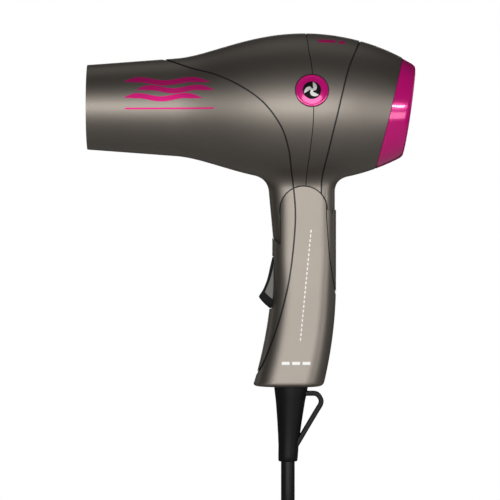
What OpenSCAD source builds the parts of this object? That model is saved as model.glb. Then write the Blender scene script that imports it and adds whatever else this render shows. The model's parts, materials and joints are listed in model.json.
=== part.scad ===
// Folding travel hair dryer: barrel on a handle that folds, two rockers, pull-off inlet ring, mains lead.
// The origin is the grip point on the handle's mid-plane. +Z is up, +X is towards the air inlet,
// the nozzle points to -X, and the object is symmetrical about the plane y = 0. Millimetres.

/* [Barrel] */
// Height of the barrel's axis above the grip point
axis_z = 117.5; // [117.2:0.1:118]
// Largest radius of the barrel
barrel_r = 41.4; // [41.2:0.1:41.8]
// Radius of the arc that the side of the barrel follows
dome_arc_r = 118; // [116:1:120]
// Place of the widest section
dome_x = 0.4; // [0:0.1:0.8]
// Place of the nozzle's mouth
mouth_x = -120.8; // [-122:0.2:-120]
// Outer radius of the nozzle's mouth
mouth_r = 23.7; // [23.5:0.1:24]
// Widening of the nozzle for each millimetre of its length
nozzle_slope = 0.074; // [0.07:0.002:0.08]
// Softness of the curve between nozzle and barrel
flare_soft = 10; // [9:0.5:11]
// Bore of the nozzle's sleeve, which takes a push-in attachment
nozzle_bore_r = 20.6; // [20.2:0.1:20.8]
// Wall of the casings
wall = 1.8; // [1.7:0.1:1.9]

/* [Inlet ring] */
// Tilt of the seam in front of the ring
ring_tilt = 13.6; // [13:0.2:14]
// Tilt of the ring's rear face
face_tilt = 8; // [7.5:0.1:8.5]
// Radius of the opening in the ring
inlet_r = 21.5; // [21:0.1:22]

/* [Handle] */
// Half width of the handle, side to side
grip_half_w = 15.1; // [15:0.1:15.3]
// Front face of the handle's straight part
grip_front_x = -17.6; // [-17.8:0.1:-17.4]
// Rear face of the handle's straight part
grip_rear_x = 18.4; // [18.2:0.1:18.6]
// Bottom of the handle
grip_bottom_z = -38.9; // [-39.2:0.1:-38.6]
// Height at which the handle starts to bend forwards
bend_z = 18.5; // [18:0.5:19]
// Radius of that bend
bend_r = 185; // [180:1:190]

/* [Fold hinge] */
// Height of the hinge's axis
hinge_z = 60; // [59.8:0.1:60.2]
// Radius of the round cheeks over the hinge
cheek_r = 12.8; // [12.7:0.1:12.9]
// Radius of the hinge pin
hinge_pin_r = 2.5; // [2.3:0.1:2.7]
// Clearance of the pin in the knuckle
hinge_play = 0.05; // [0.03:0.01:0.08]

/* [Rockers] */
// Width of each rocker
rocker_w = 6.95; // [6.8:0.05:7]
// Radius of the rocker's pivot pin
rocker_pin_r = 1; // [0.9:0.1:1.1]

/* [Lead] */
// Diameter of the mains lead
lead_d = 7.7; // [7.5:0.1:7.9]
// Mean radius of the coiled lead
coil_r = 44; // [43.5:0.5:44.5]
// Height of the surface that the lead lies on
floor_z = -158; // [-158.5:0.5:-157.5]

/* [Hidden] */
$fn = 64;

body_grey = [0.42, 0.40, 0.38];
magenta = [0.62, 0.10, 0.36];
black = [0.06, 0.06, 0.07];
steel = [0.70, 0.71, 0.73];
mica = [0.80, 0.74, 0.60];
copper = [0.78, 0.48, 0.30];
white_plastic = [0.88, 0.87, 0.84];

seam = 0.15;            // half of the gap along a seam between two casings
slack = 0.3;            // gap between casings that move against each other
cut = 1;                // how far a cutting solid runs past the face that it opens
barrel_steps = 36;      // stations along the barrel's outline
neck_half_w = 13.5;     // half width of the neck between the cheeks
cheek_in = neck_half_w + slack;
sweep_r = 23.1;         // radius about the hinge that the neck sweeps
front_round = 9;
rear_round = 7;
knuckle_half_w = 9;
boss_r = 9.7;
boss_in = 9.3;          // inner face of the hinge bosses
drum_r = 15.8;
drum_half_w = 11.4;
neck_wall = 2;
detent_drop = 6.8;      // how far the detent pins are below the hinge's axis
spine_front_x = 16.4;   // inner face of the spine where the knuckle turns
rocker_axis = [-12.5, 0, 19.5];
rocker_gap = 0.5;       // gap between the two rockers
slot_half_w = 7.6;
slot_low_z = 3.6;
slot_high_z = 34.4;
contact_zs = [13, 19, 25]; // heights of the switches' contact tabs
carrier_in = 7.9;
carrier_out = 9.4;
can_r = 13.5;
can_front_x = -18;
can_rear_x = 14;
shaft_r = 1.15;
bush_r = 3;
fan_r = 27;
fan_front_x = 18;
fan_rear_x = 33;
guide_in_r = 28;
guide_out_r = 29.5;
sleeve_r = 19.4;
heater_bore_r = 20;     // bore of the nozzle's sleeve behind the socket
grille_x = -106;        // the step where the socket ends
board_half = 16.5;
wire_r = 1.1;           // radius of the insulated wires inside
heater_lead_z = 84.5;   // height of the two wires under the air guide
relief_top = [-6.8, 0, grip_bottom_z];
relief_tilt = 2.4;
relief_len = 42;
lead_r = lead_d / 2;
coil_h = 4 * lead_d;
lead_x = -8.6;
coil_x = lead_x + coil_r - lead_r;
coil_y = 33;
plug_y = coil_y - coil_r - lead_r;
plug_x = -52;
plug_z = floor_z + 6.85;

// Places of the lead's centreline where it hangs from the strain relief to the coil
drop_route = [
    [-8.6, 0, -80.8], [-8.6, 0, -92], [-8.6, 0, -101], [-8.6, 2, -112], [-8.6, 8, -122],
    [-8.6, 17, -129.5], [-8.6, 26, -132.8], [-8.6, 34, -133.6]
];
// Places of the lead's centreline from the coil to the plug
tail_route = [
    [32, -14.8, -133.4], [20, -14.8, -135.6], [8, -14.8, -140], [-4, -14.8, -146], [-16, -14.8, -151.5],
    [-26, -14.8, -153.9], [-36, -14.8, -153.6], [-44, -14.8, -151.8], [-52, -14.8, -151.1]
];

// ---- Outlines -----------------------------------------------------------------------------

function dome(x) = barrel_r - dome_arc_r + sqrt(max(0, pow(dome_arc_r, 2) - pow(x - dome_x, 2)));
function cone(x) = mouth_r + (x - mouth_x) * nozzle_slope;
function flare(x) = flare_soft / 4 * pow(max(flare_soft - abs(dome(x) - cone(x)), 0) / flare_soft, 2);
// Radius of the barrel's outside at a station along its axis
function barrel_at(x) = x > -10 ? dome(x) : max(dome(x), cone(x)) + flare(x);

// Solid of revolution inside the barrel's outline, from x0 to x1, set in by a distance
module barrel_form(inset = 0, x0 = mouth_x, x1 = 66) {
    stations = [for (i = [0:barrel_steps]) x0 + (x1 - x0) * i / barrel_steps];
    outline = [for (x = stations) [barrel_at(x) - inset, x]];
    translate([0, 0, axis_z]) rotate([0, 90, 0]) rotate_extrude()
        polygon(concat([[0, x0]], outline, [[0, x1]]));
}

// Rod or tube along the barrel's axis
module along_barrel(x) {
    translate([x, 0, axis_z]) rotate([0, 90, 0]) children();
}

// A side view outline, drawn in X and Z, made solid from y0 to y1
module side_slab(y0, y1) {
    translate([0, y1, 0]) rotate([90, 0, 0]) linear_extrude(y1 - y0) children();
}

// A rod across the object about the hinge's axis
module about_hinge(r, half_w) {
    translate([0, half_w, hinge_z]) rotate([90, 0, 0]) cylinder(r = r, h = 2 * half_w);
}

module rod_across(at, r, y0, y1) {
    translate([at[0], y1, at[2]]) rotate([90, 0, 0]) cylinder(r = r, h = y1 - y0);
}

// The handle's section: a rounded oblong with a softer front
module grip_outline(inset = 0) {
    fx = grip_front_x + front_round;
    rx = grip_rear_x - rear_round;
    fy = grip_half_w - front_round;
    ry = grip_half_w - rear_round;
    side = grip_half_w - inset;
    for (s = [-1, 1]) {
        translate([fx, s * fy]) circle(r = front_round - inset);
        translate([rx, s * ry]) circle(r = rear_round - inset);
    }
    polygon([
        [grip_front_x + inset, -fy], [grip_front_x + inset, fy], [fx, side], [rx, side],
        [grip_rear_x - inset, ry], [grip_rear_x - inset, -ry], [rx, -side], [fx, -side]
    ]);
}

// The handle as a solid: straight above the bend, an arc below it
module grip_form(inset = 0, top_z = hinge_z, floor_in = 0) {
    translate([0, 0, bend_z]) linear_extrude(top_z - bend_z) grip_outline(inset);
    intersection() {
        translate([-bend_r, 0, bend_z]) rotate([-90, 0, 0]) rotate_extrude(angle = 20)
            translate([bend_r, 0]) grip_outline(inset);
        translate([-60, -30, grip_bottom_z + floor_in]) cube([120, 60, bend_z - grip_bottom_z - floor_in]);
    }
}

// The neck between barrel and hinge, with its fillets under the barrel
module neck_form(inset = 0, low_z = 40, high_z = 90) {
    intersection() {
        translate([0, 0, low_z]) linear_extrude(high_z - low_z) grip_outline(inset);
        translate([-40, inset - neck_half_w, low_z]) cube([80, 2 * (neck_half_w - inset), high_z - low_z]);
    }
    side_slab(inset - 10, 10 - inset) polygon([
        [-17.6 + inset, 71], [-19.2 + inset, 74.5], [-22.6 + inset, 78 + inset], [-29.8, 80.2 + inset],
        [-29.8, 86], [32, 86], [32, 80.2 + inset], [22.5 - inset, 78 + inset], [19.6 - inset, 74.5],
        [18.4 - inset, 71]
    ]);
}

// ---- Regions of the seams, as side view outlines -------------------------------------------

// Seam between the front and rear shells, from the top down through the badge to the neck
parting = [
    [1.3, 162], [2.6, 148.2], [4.2, 137.9], [4.9, 120], [4.9, 107.7], [3.9, 98.1], [2, 82.6], [1.2, 72], [1.2, 30]
];
// Edge of the handle's front cover, from the hinge down to the front edge
cover_edge = [
    [-4.6, 55], [-5, 46], [-6.7, 29.8], [-9.2, 15], [-11.6, 6], [-14.5, -4.7], [-17.8, -14.5], [-21.5, -23.5], [-26, -30]
];
// Edge of the rear spine
spine_edge = [[12.8, 62], [12.8, 58], [13.5, 47], [14.6, 33.7], [15.9, 27.5], [17.2, 17], [19.2, 12]];

function moved(points, dx) = [for (p = points) [p[0] + dx, p[1]]];

module ahead_of(edge, dx, far_x = -200) {
    last = len(edge) - 1;
    polygon(concat(moved(edge, dx), [[far_x, edge[last][1]], [far_x, edge[0][1]]]));
}

// Half space in front of (dir -1) or behind (dir 1) a plane across the barrel that leans back
module lean_slab(at, tilt, dir, depth) {
    translate(at) rotate([0, 90 + tilt, 0])
        translate([-70, -70, dir > 0 ? 0 : -depth]) cube([140, 140, depth]);
}

ring_seam_at = [47.45, 0, 112.9];
inlet_at = [59.3, 0, 114.6];

// ---- Barrel body ----------------------------------------------------------------------------

module barrel_casing() {
    difference() {
        union() {
            barrel_form();
            neck_form();
        }
        barrel_form(wall, mouth_x - cut, 68);
        neck_form(neck_wall, 40, 90);
        about_hinge(boss_r + 0.5, 20);
        badge_disc(9.3, 30, 60);
    }
}

module front_shell() {
    color(body_grey) intersection() {
        barrel_casing();
        side_slab(-60, 60) ahead_of(parting, -seam);
        union() {
            translate([-130, -60, hinge_z + slack]) cube([200, 120, 140]);
            intersection() {
                about_hinge(sweep_r - slack, 20);
                translate([-40, -20, 30]) cube([40 - cheek_r - slack, 40, 40]);
            }
        }
    }
}

module rear_shell() {
    color(body_grey) intersection() {
        difference() {
            barrel_casing();
            side_slab(-61, 61) ahead_of(parting, seam);
        }
        translate([-10, -60, hinge_z + slack]) cube([100, 120, 140]);
        lean_slab([47.45 - slack, 0, 112.9], ring_tilt, -1, 150);
    }
}

module badge_disc(r, inner, outer) {
    // The badge sits 11 degrees above the barrel's side, on both sides
    for (s = [-1, 1]) translate([4.2, 0, axis_z]) rotate([s * 11, 0, 0]) rotate([-s * 90, 0, 0])
        translate([0, 0, inner]) cylinder(r = r, h = outer - inner);
}

module badge(s) {
    color(magenta) intersection() {
        badge_disc(9.3, 30, 60);
        difference() {
            barrel_form(0.3);
            barrel_form(wall);
        }
        translate([-20, s > 0 ? 0 : -60, 90]) cube([60, 60, 60]);
    }
}
module badge_left() { badge(-1); }
module badge_right() { badge(1); }

module tube(x0, x1, r_out, r_in) {
    along_barrel(x0) difference() {
        cylinder(r = r_out, h = x1 - x0);
        translate([0, 0, -cut]) cylinder(r = r_in, h = x1 - x0 + 2 * cut);
    }
}

module nozzle_liner() {
    color(black) difference() {
        intersection() {
            barrel_form(wall, mouth_x + 0.4, -60);
            union() {
                along_barrel(mouth_x) cylinder(r = 21.8, h = 55);
                along_barrel(mouth_x) cylinder(r = 30, h = 3);
                along_barrel(-72) cylinder(r = 30, h = 2);
            }
        }
        along_barrel(mouth_x - cut) cylinder(r = nozzle_bore_r, h = grille_x - mouth_x + cut);
        along_barrel(grille_x - cut) cylinder(r = heater_bore_r, h = 55);
    }
}

module outlet_grille() {
    grille_h = 3;
    rib = 1.2;
    color(black) {
        for (r = [heater_bore_r, 15.2, 10, 5.2]) tube(grille_x + 1, grille_x + 1 + grille_h, r, r - rib);
        for (a = [0:45:135]) along_barrel(grille_x + 1) rotate([0, 0, a])
            translate([-19.5, -rib / 2, 0]) cube([39, rib, grille_h]);
    }
}

module heater_sleeve() {
    color(mica) {
        tube(-98, -34, sleeve_r, sleeve_r - 0.6);
        tube(-92, -90, heater_bore_r, sleeve_r);
        tube(-72, -70, heater_bore_r, sleeve_r);
    }
}

module heater_boards() {
    color(mica) for (a = [0, 90]) along_barrel(-96) rotate([0, 0, a]) {
        translate([-board_half, -0.4, 0]) cube([2 * board_half, 0.8, 60]);
        for (z = [0, 57]) translate([-18.7, -0.4, z]) cube([37.4, 0.8, 3]);
    }
}

module heater_coil() {
    turns = 11;
    color(steel) for (i = [0:turns - 1]) along_barrel(-90 + i * 4.8)
        rotate_extrude() translate([board_half + 0.7, 0]) circle(r = 0.7, $fn = 16);
}

module thermal_cutout() {
    color(steel) translate([-60, 0.4, axis_z + 4]) cube([10, 4, 8]);
}

module thermal_fuse() {
    color(white_plastic) translate([-75, -2.4, axis_z + 8]) rotate([0, 90, 0]) cylinder(r = 2, h = 12);
}

module air_guide() {
    flange_x = -6;
    color(black) {
        along_barrel(0) rotate_extrude() polygon([
            [sleeve_r, -38], [sleeve_r, -34], [guide_in_r, -20], [guide_in_r, 34], [guide_out_r, 34],
            [guide_out_r, -20.6], [sleeve_r + 1.5, -34.6], [sleeve_r + 1.5, -38]
        ]);
        tube(can_front_x, can_rear_x, can_r + 1.2, can_r);
        for (a = [0:51.428:309]) along_barrel(-16) rotate([0, 0, a + 10])
            translate([can_r + 0.6, -0.6, 0]) cube([guide_in_r - can_r, 1.2, 20]);
        difference() {
            intersection() {
                barrel_form(wall);
                tube(flange_x, flange_x + 2, 50, guide_out_r);
            }
            for (a = [45:90:315]) along_barrel(flange_x) rotate([0, 0, a])
                translate([34, 0, -cut]) cylinder(r = 1.2, h = 2 + 2 * cut);
            for (y = [-3, 3]) translate([flange_x - cut, y, heater_lead_z]) rotate([0, 90, 0])
                cylinder(r = wire_r + 0.3, h = 2 + 2 * cut);
        }
    }
}

module barrel_screws() {
    color(steel) for (a = [45:90:315]) along_barrel(-12) rotate([0, 0, a]) translate([34, 0, 0]) {
        cylinder(r = 1.2, h = 8);
        translate([0, 0, 8]) cylinder(r = 2.3, h = 1.6);
    }
}

module motor_can() {
    color(steel) {
        tube(can_front_x, can_rear_x, can_r, can_r - 1.1);
        tube(can_front_x, can_front_x + 1.2, can_r - 1.1, bush_r);
        tube(can_rear_x - 1.2, can_rear_x, can_r - 1.1, bush_r);
    }
}

module motor_magnets() {
    color(black) difference() {
        tube(-9, 7, can_r - 1.1, 9.6);
        translate([-10, -20, axis_z - 1.5]) cube([20, 40, 3]);
    }
}

module motor_bushes() {
    color(copper) for (x = [can_front_x, can_rear_x - 4]) tube(x, x + 4, bush_r, shaft_r + 0.02);
}

module motor_shaft() {
    color(steel) along_barrel(-20) cylinder(r = shaft_r, h = 54);
}

module motor_armature() {
    color(copper) tube(-8, 6, 8.8, shaft_r);
}

module fan() {
    hub_r = 11;
    blades = 9;
    color(black) {
        tube(fan_rear_x - 2, fan_rear_x, hub_r, shaft_r);
        tube(fan_front_x, fan_rear_x - 2, hub_r, hub_r - 1.5);
        tube(fan_front_x + 2, fan_rear_x - 2, 3.2, shaft_r);
        intersection() {
            tube(fan_front_x, fan_rear_x, fan_r, hub_r - 0.8);
            for (i = [0:blades - 1]) along_barrel(0.5 * (fan_front_x + fan_rear_x))
                rotate([0, 0, i * 360 / blades]) rotate([38, 0, 0])
                    translate([hub_r - 2, -0.6, -15]) cube([20, 1.2, 30]);
        }
    }
}

module barrel_leads() {
    color(copper) for (y = [-3, 3]) {
        translate([-30, y, heater_lead_z]) rotate([0, 90, 0]) cylinder(r = wire_r, h = 36);
        translate([5, y, 73]) cylinder(r = wire_r, h = heater_lead_z - 73);
    }
}

module neck_knuckle() {
    color(black) difference() {
        union() {
            intersection() {
                about_hinge(drum_r, drum_half_w);
                neck_form(neck_wall + 0.05, 30, 90);
            }
            intersection() {
                neck_form(neck_wall + 0.05, hinge_z + 2, 72);
                translate([-40, -drum_half_w, hinge_z]) cube([80, 2 * drum_half_w, 12]);
            }
        }
        for (s = [-1, 1])
            rod_across([0, 0, hinge_z], boss_r + 0.5, s > 0 ? knuckle_half_w : -20, s > 0 ? 20 : -knuckle_half_w);
        about_hinge(hinge_pin_r + hinge_play, 20);
        translate([3.5, -5, 40]) cube([5, 10, 40]);
    }
}

// ---- Filter cover body ------------------------------------------------------------------------

module rear_ring() {
    collar_r = 28.5;
    color(magenta) {
        difference() {
            intersection() {
                barrel_form(0, 30, 66);
                lean_slab(ring_seam_at, ring_tilt, 1, 60);
                lean_slab(inlet_at, face_tilt, -1, 60);
            }
            intersection() {
                barrel_form(2.2, 25, 66);
                lean_slab([inlet_at[0] - 3, 0, inlet_at[2]], face_tilt, -1, 70);
            }
            translate(inlet_at) rotate([0, 90 + face_tilt, 0]) translate([0, 0, -20]) cylinder(r = inlet_r, h = 40);
        }
        translate(ring_seam_at) rotate([0, 90 + ring_tilt, 0]) translate([0, 0, -4]) difference() {
            cylinder(r = collar_r, h = 6.5);
            translate([0, 0, -cut]) cylinder(r = collar_r - 1.4, h = 10);
        }
    }
}

module face_disc(depth, h, r_out, r_in) {
    translate(inlet_at) rotate([0, 90 + face_tilt, 0]) translate([0, 0, -depth]) difference() {
        cylinder(r = r_out, h = h);
        if (r_in > 0) translate([0, 0, -cut]) cylinder(r = r_in, h = h + 2 * cut);
    }
}

module inlet_grille() {
    color(black) {
        for (r = [inlet_r, 17.4, 13.4, 9.4, 5.4]) face_disc(2.6, 1.6, r, r - 1.3);
        for (a = [0:30:150]) translate(inlet_at) rotate([0, 90 + face_tilt, 0]) rotate([0, 0, a])
            translate([-20.6, -0.5, -2.6]) cube([41.2, 1, 1.6]);
    }
}

module filter_mesh() {
    color(steel) face_disc(3.2, 0.6, inlet_r, 0);
}

// ---- Handle body --------------------------------------------------------------------------------

module cheek_form() {
    grip_form();
    for (s = [-1, 1])
        rod_across([0, 0, hinge_z], cheek_r, s > 0 ? 12 : -grip_half_w, s > 0 ? grip_half_w : -12);
}

module handle_casing() {
    difference() {
        cheek_form();
        grip_form(wall, hinge_z + cut, wall);
        // Room for the knuckle to turn, and the open front between the cheeks
        intersection() {
            about_hinge(sweep_r + slack, cheek_in);
            translate([-60, -30, 0]) cube([60 + spine_front_x, 60, 100]);
        }
        intersection() {
            about_hinge(sweep_r + slack, 30);
            translate([-60, -30, 20]) cube([60 - cheek_r, 60, 60]);
        }
        translate([relief_top[0], 0, grip_bottom_z - cut]) cylinder(r = 6, h = 5);
    }
}

module handle_back_shell() {
    color(body_grey) difference() {
        handle_casing();
        difference() {
            side_slab(-31, 31) ahead_of(cover_edge, seam);
            about_hinge(sweep_r + slack - 2 * seam, 32);
        }
        intersection() {
            side_slab(-31, 31) difference() {
                translate([5, 12]) square([30, 48]);
                ahead_of(spine_edge, -seam);
            }
            translate([0, -31, 0]) cube([60, 62, hinge_z]);
        }
    }
}

module handle_front_cover() {
    color(body_grey) difference() {
        intersection() {
            handle_casing();
            side_slab(-31, 31) ahead_of(cover_edge, -seam);
        }
        about_hinge(sweep_r + slack, 31);
        translate([-40, -slot_half_w, slot_low_z]) cube([30, 2 * slot_half_w, slot_high_z - slot_low_z]);
    }
}

module rear_spine() {
    color(body_grey) intersection() {
        handle_casing();
        side_slab(-31, 31) difference() {
            translate([5, 12]) square([30, 47.9]);
            ahead_of(spine_edge, seam);
        }
    }
}

module hinge_bosses() {
    color(black) for (s = [-1, 1]) difference() {
        rod_across([0, 0, hinge_z], boss_r, s > 0 ? boss_in : -cheek_in, s > 0 ? cheek_in : -boss_in);
        about_hinge(hinge_pin_r, 20);
        rod_across([0, 0, hinge_z - detent_drop], 1.2, -20, 20);
    }
}

module hinge_pin() {
    color(steel) about_hinge(hinge_pin_r, cheek_in);
}

module hinge_washers() {
    color(steel) for (s = [-1, 1]) difference() {
        rod_across([0, 0, hinge_z], 5, s > 0 ? 9.05 : -9.25, s > 0 ? 9.25 : -9.05);
        about_hinge(hinge_pin_r + 0.1, 20);
    }
}

module detent_pins() {
    color(steel) for (s = [-1, 1])
        rod_across([0, 0, hinge_z - detent_drop], 1.2, s > 0 ? 9.1 : -12.6, s > 0 ? 12.6 : -9.1);
}

module switch_carrier() {
    color(black) difference() {
        union() {
            for (s = [-1, 1]) translate([-14.6, s > 0 ? carrier_in : -carrier_out, 12])
                cube([18.1, carrier_out - carrier_in, 15]);
            translate([2, -carrier_out, 12]) cube([1.5, 2 * carrier_out, 15]);
            // Ribs that reach the sides of the casing
            for (s = [-1, 1]) translate([-4, s > 0 ? carrier_out : -grip_half_w + wall, 14])
                cube([2, grip_half_w - wall - carrier_out, 10]);
        }
        rod_across(rocker_axis, rocker_pin_r, -20, 20);
        for (z = contact_zs) translate([1, -6, z - 0.3]) cube([4, 12, 1.4]);
    }
}

module rocker_pin() {
    color(steel) rod_across(rocker_axis, rocker_pin_r, -carrier_out, carrier_out);
}

// Side view of a rocker: flush at the top, standing proud at its lower end
rocker_outline = [
    [-18.4, 33.7], [-25, 11.8], [-19.1, 5.1], [-17.6, 5.5], [-11.2, 17.4], [-11.2, 21.4], [-16.4, 33.2]
];
rocker_core_outline = [[-17.9, 29.6], [-22.8, 12.6], [-18.6, 8], [-17.6, 5.5], [-11.2, 17.4], [-11.2, 21.4]];

module rocker_cap(y0) {
    color(black) side_slab(y0, y0 + rocker_w) difference() {
        polygon(rocker_outline);
        polygon(rocker_core_outline);
    }
}

module rocker_core(y0) {
    color(body_grey) difference() {
        side_slab(y0, y0 + rocker_w) polygon(rocker_core_outline);
        rod_across(rocker_axis, rocker_pin_r + 0.04, -20, 20);
    }
}

module speed_rocker() { rocker_cap(-rocker_gap / 2 - rocker_w); }
module speed_rocker_core() { rocker_core(-rocker_gap / 2 - rocker_w); }
module heat_rocker() { rocker_cap(rocker_gap / 2); }
module heat_rocker_core() { rocker_core(rocker_gap / 2); }

module slide_switch(y0) {
    color(black) translate([-9.6, y0, 9]) cube([11.6, 6.8, 21]);
    color(copper) for (z = contact_zs) translate([-6, y0 + 2.4, z]) cube([12, 2, 0.8]);
}
module speed_switch() { slide_switch(-7.2); }
module heat_switch() { slide_switch(0.4); }

module suppression_capacitor() {
    color(white_plastic) translate([-6, -5, -14]) cube([13, 10, 15]);
}

module handle_leads() {
    color(copper) for (y = [-3.5, 3.5]) {
        translate([-6.8, y * 0.5, -20]) cylinder(r = wire_r, h = 5.9);
        translate([-4, y, 1]) cylinder(r = wire_r, h = 8);
        translate([-4, y, 30]) cylinder(r = wire_r, h = 6);
    }
}

module lead_end() {
    color(black) translate([relief_top[0], 0, grip_bottom_z + 4.1]) cylinder(r = lead_r, h = 14.8);
}

module cord_clamp() {
    color(black) difference() {
        translate([-15.5, -grip_half_w + wall, -33]) cube([17.5, 2 * (grip_half_w - wall), 7]);
        translate([relief_top[0], 0, -40]) cylinder(r = lead_r, h = 20);
        for (y = [-8.4, 8.4]) translate([relief_top[0], y, -40]) cylinder(r = 1.4, h = 20);
    }
}

module clamp_screws() {
    color(steel) for (y = [-8.4, 8.4]) translate([relief_top[0], y, -35]) {
        cylinder(r = 1.4, h = 9);
        translate([0, 0, 9]) cylinder(r = 2.6, h = 1.8);
    }
}

// Tapered sleeve with grip ribs, a hanging loop at its rear and a neck held in the handle
module strain_relief() {
    color(black) {
        translate(relief_top) rotate([0, 180 + relief_tilt, 0]) rotate_extrude() polygon([
            [0, 0.5], [9.4, 0.5], [8.3, 8], [6.9, 20], [6.1, 30], [5.5, 36], [5.4, relief_len], [0, relief_len]
        ]);
        translate([relief_top[0], 0, grip_bottom_z - 1]) cylinder(r = 6, h = 5.1);
        side_slab(-3, 3) difference() {
            polygon([[-4, -41.1], [7.8, -41.1], [11.3, -46], [11.5, -47.5], [10.8, -50], [-2.5, -73.2], [-6, -70]]);
            polygon([[0, -44.3], [6.3, -43.9], [8.8, -46.5], [8.6, -48], [-1.5, -64.8]]);
        }
    }
}

// ---- Lead, coil and plug --------------------------------------------------------------------------

function unit(v) = v / norm(v);
function heading(route, i) = unit(route[min(i + 1, len(route) - 1)] - route[max(i - 1, 0)]);
// A ring of points about one place of a route, square to the route; side is level across it
function ring_at(route, i, side, r, sides) = let (up = cross(heading(route, i), side))
    [for (k = [0:sides - 1]) route[i] + r * (cos(k * 360 / sides) * side + sin(k * 360 / sides) * up)];

// A round tube swept along a route that stays in a plane square to side
module swept_tube(route, side, r, sides = 10) {
    last = len(route) - 1;
    points = [for (i = [0:last]) each ring_at(route, i, side, r, sides)];
    walls = [for (i = [0:last - 1], k = [0:sides - 1])
        [i * sides + k, (i + 1) * sides + k, (i + 1) * sides + (k + 1) % sides, i * sides + (k + 1) % sides]];
    polyhedron(points, concat(walls, [[for (k = [0:sides - 1]) k]],
        [[for (k = [sides - 1:-1:0]) last * sides + k]]), convexity = 4);
}

module cord_drop() {
    color(black) swept_tube(drop_route, [1, 0, 0], lead_r);
}

module cord_tail() {
    color(black) swept_tube(tail_route, [0, 1, 0], lead_r);
}

module cord_coil() {
    color(black) translate([coil_x, coil_y, floor_z]) rotate_extrude()
        translate([coil_r - lead_d, 0]) square([2 * lead_d, coil_h]);
}

module cord_tie() {
    color(black) translate([coil_x + coil_r - lead_d - 1.5, coil_y - 5, floor_z]) difference() {
        cube([2 * lead_d + 3, 10, coil_h + 1.5]);
        translate([1.5, -cut, -cut]) cube([2 * lead_d, 10 + 2 * cut, coil_h + cut]);
    }
}

module plug_body() {
    color(black) {
        intersection() {
            translate([plug_x - 36, plug_y - 17.6, plug_z - 6.85]) cube([36, 35.2, 13.7]);
            translate([0, 0, plug_z - 7]) linear_extrude(14) polygon([
                [plug_x, plug_y - 6], [plug_x - 10, plug_y - 9], [plug_x - 22, plug_y - 17.6],
                [plug_x - 36, plug_y - 17.6], [plug_x - 36, plug_y + 17.6], [plug_x - 22, plug_y + 17.6],
                [plug_x - 10, plug_y + 9], [plug_x, plug_y + 6]
            ]);
        }
    }
}

module plug_pins() {
    color(steel) for (s = [-1, 1]) translate([plug_x - 55, plug_y + s * 9.3, plug_z]) rotate([0, 90, 0])
        cylinder(r = 2, h = 19);
}

front_shell();
rear_shell();
nozzle_liner();
outlet_grille();
heater_sleeve();
heater_boards();
heater_coil();
thermal_cutout();
thermal_fuse();
air_guide();
motor_can();
motor_magnets();
motor_bushes();
motor_shaft();
motor_armature();
fan();
barrel_screws();
barrel_leads();
badge_left();
badge_right();
neck_knuckle();
rear_ring();
inlet_grille();
filter_mesh();
handle_back_shell();
handle_front_cover();
rear_spine();
hinge_bosses();
hinge_pin();
hinge_washers();
detent_pins();
switch_carrier();
rocker_pin();
speed_rocker();
speed_rocker_core();
heat_rocker();
heat_rocker_core();
speed_switch();
heat_switch();
suppression_capacitor();
handle_leads();
lead_end();
cord_clamp();
clamp_screws();
strain_relief();
cord_drop();
cord_coil();
cord_tail();
cord_tie();
plug_body();
plug_pins();
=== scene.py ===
"""A folding travel hair dryer: satin grey casings, a metallic ring round the inlet, front rockers, a mains lead.

Lengths are in millimetres while a piece is shaped, and become metres when it is published to the frame.
"""

import json
import logging
import math
from collections.abc import Callable, Sequence
from dataclasses import dataclass
from enum import Enum

import bmesh
import bpy
import numpy as np
from mathutils import Matrix, Vector


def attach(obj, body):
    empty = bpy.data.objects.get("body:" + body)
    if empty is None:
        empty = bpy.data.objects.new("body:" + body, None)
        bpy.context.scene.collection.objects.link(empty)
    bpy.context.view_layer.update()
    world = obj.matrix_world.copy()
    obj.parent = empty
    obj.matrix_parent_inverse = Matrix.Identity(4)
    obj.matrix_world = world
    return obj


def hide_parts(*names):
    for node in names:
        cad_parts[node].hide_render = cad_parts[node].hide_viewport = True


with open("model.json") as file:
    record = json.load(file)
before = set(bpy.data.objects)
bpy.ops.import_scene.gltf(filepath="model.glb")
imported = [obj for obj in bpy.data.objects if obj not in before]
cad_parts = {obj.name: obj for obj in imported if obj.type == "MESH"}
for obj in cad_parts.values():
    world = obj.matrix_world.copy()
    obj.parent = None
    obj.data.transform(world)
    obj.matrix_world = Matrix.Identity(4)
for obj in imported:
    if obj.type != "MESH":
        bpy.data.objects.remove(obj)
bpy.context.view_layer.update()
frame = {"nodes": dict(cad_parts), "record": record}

LOG = logging.getLogger("hair_dryer")
MM = 0.001
TURN = 2 * math.pi
SIDES = (-1, 1)

Place = Callable[[float, float], Vector]
Line = Sequence[tuple[float, float]]


class Body(Enum):
    """The moving groups that a piece can ride on."""

    HANDLE = "handle"
    BARREL = "barrel"
    ROTOR = "rotor"
    COVER = "filter_cover"
    SPEED = "speed_key"
    HEAT = "heat_key"


class Cut(Enum):
    """What a cutting solid does to a piece."""

    KEEP_INSIDE = "INTERSECT"
    TAKE_AWAY = "DIFFERENCE"


# ---- Finishes ---------------------------------------------------------------------------------


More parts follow.
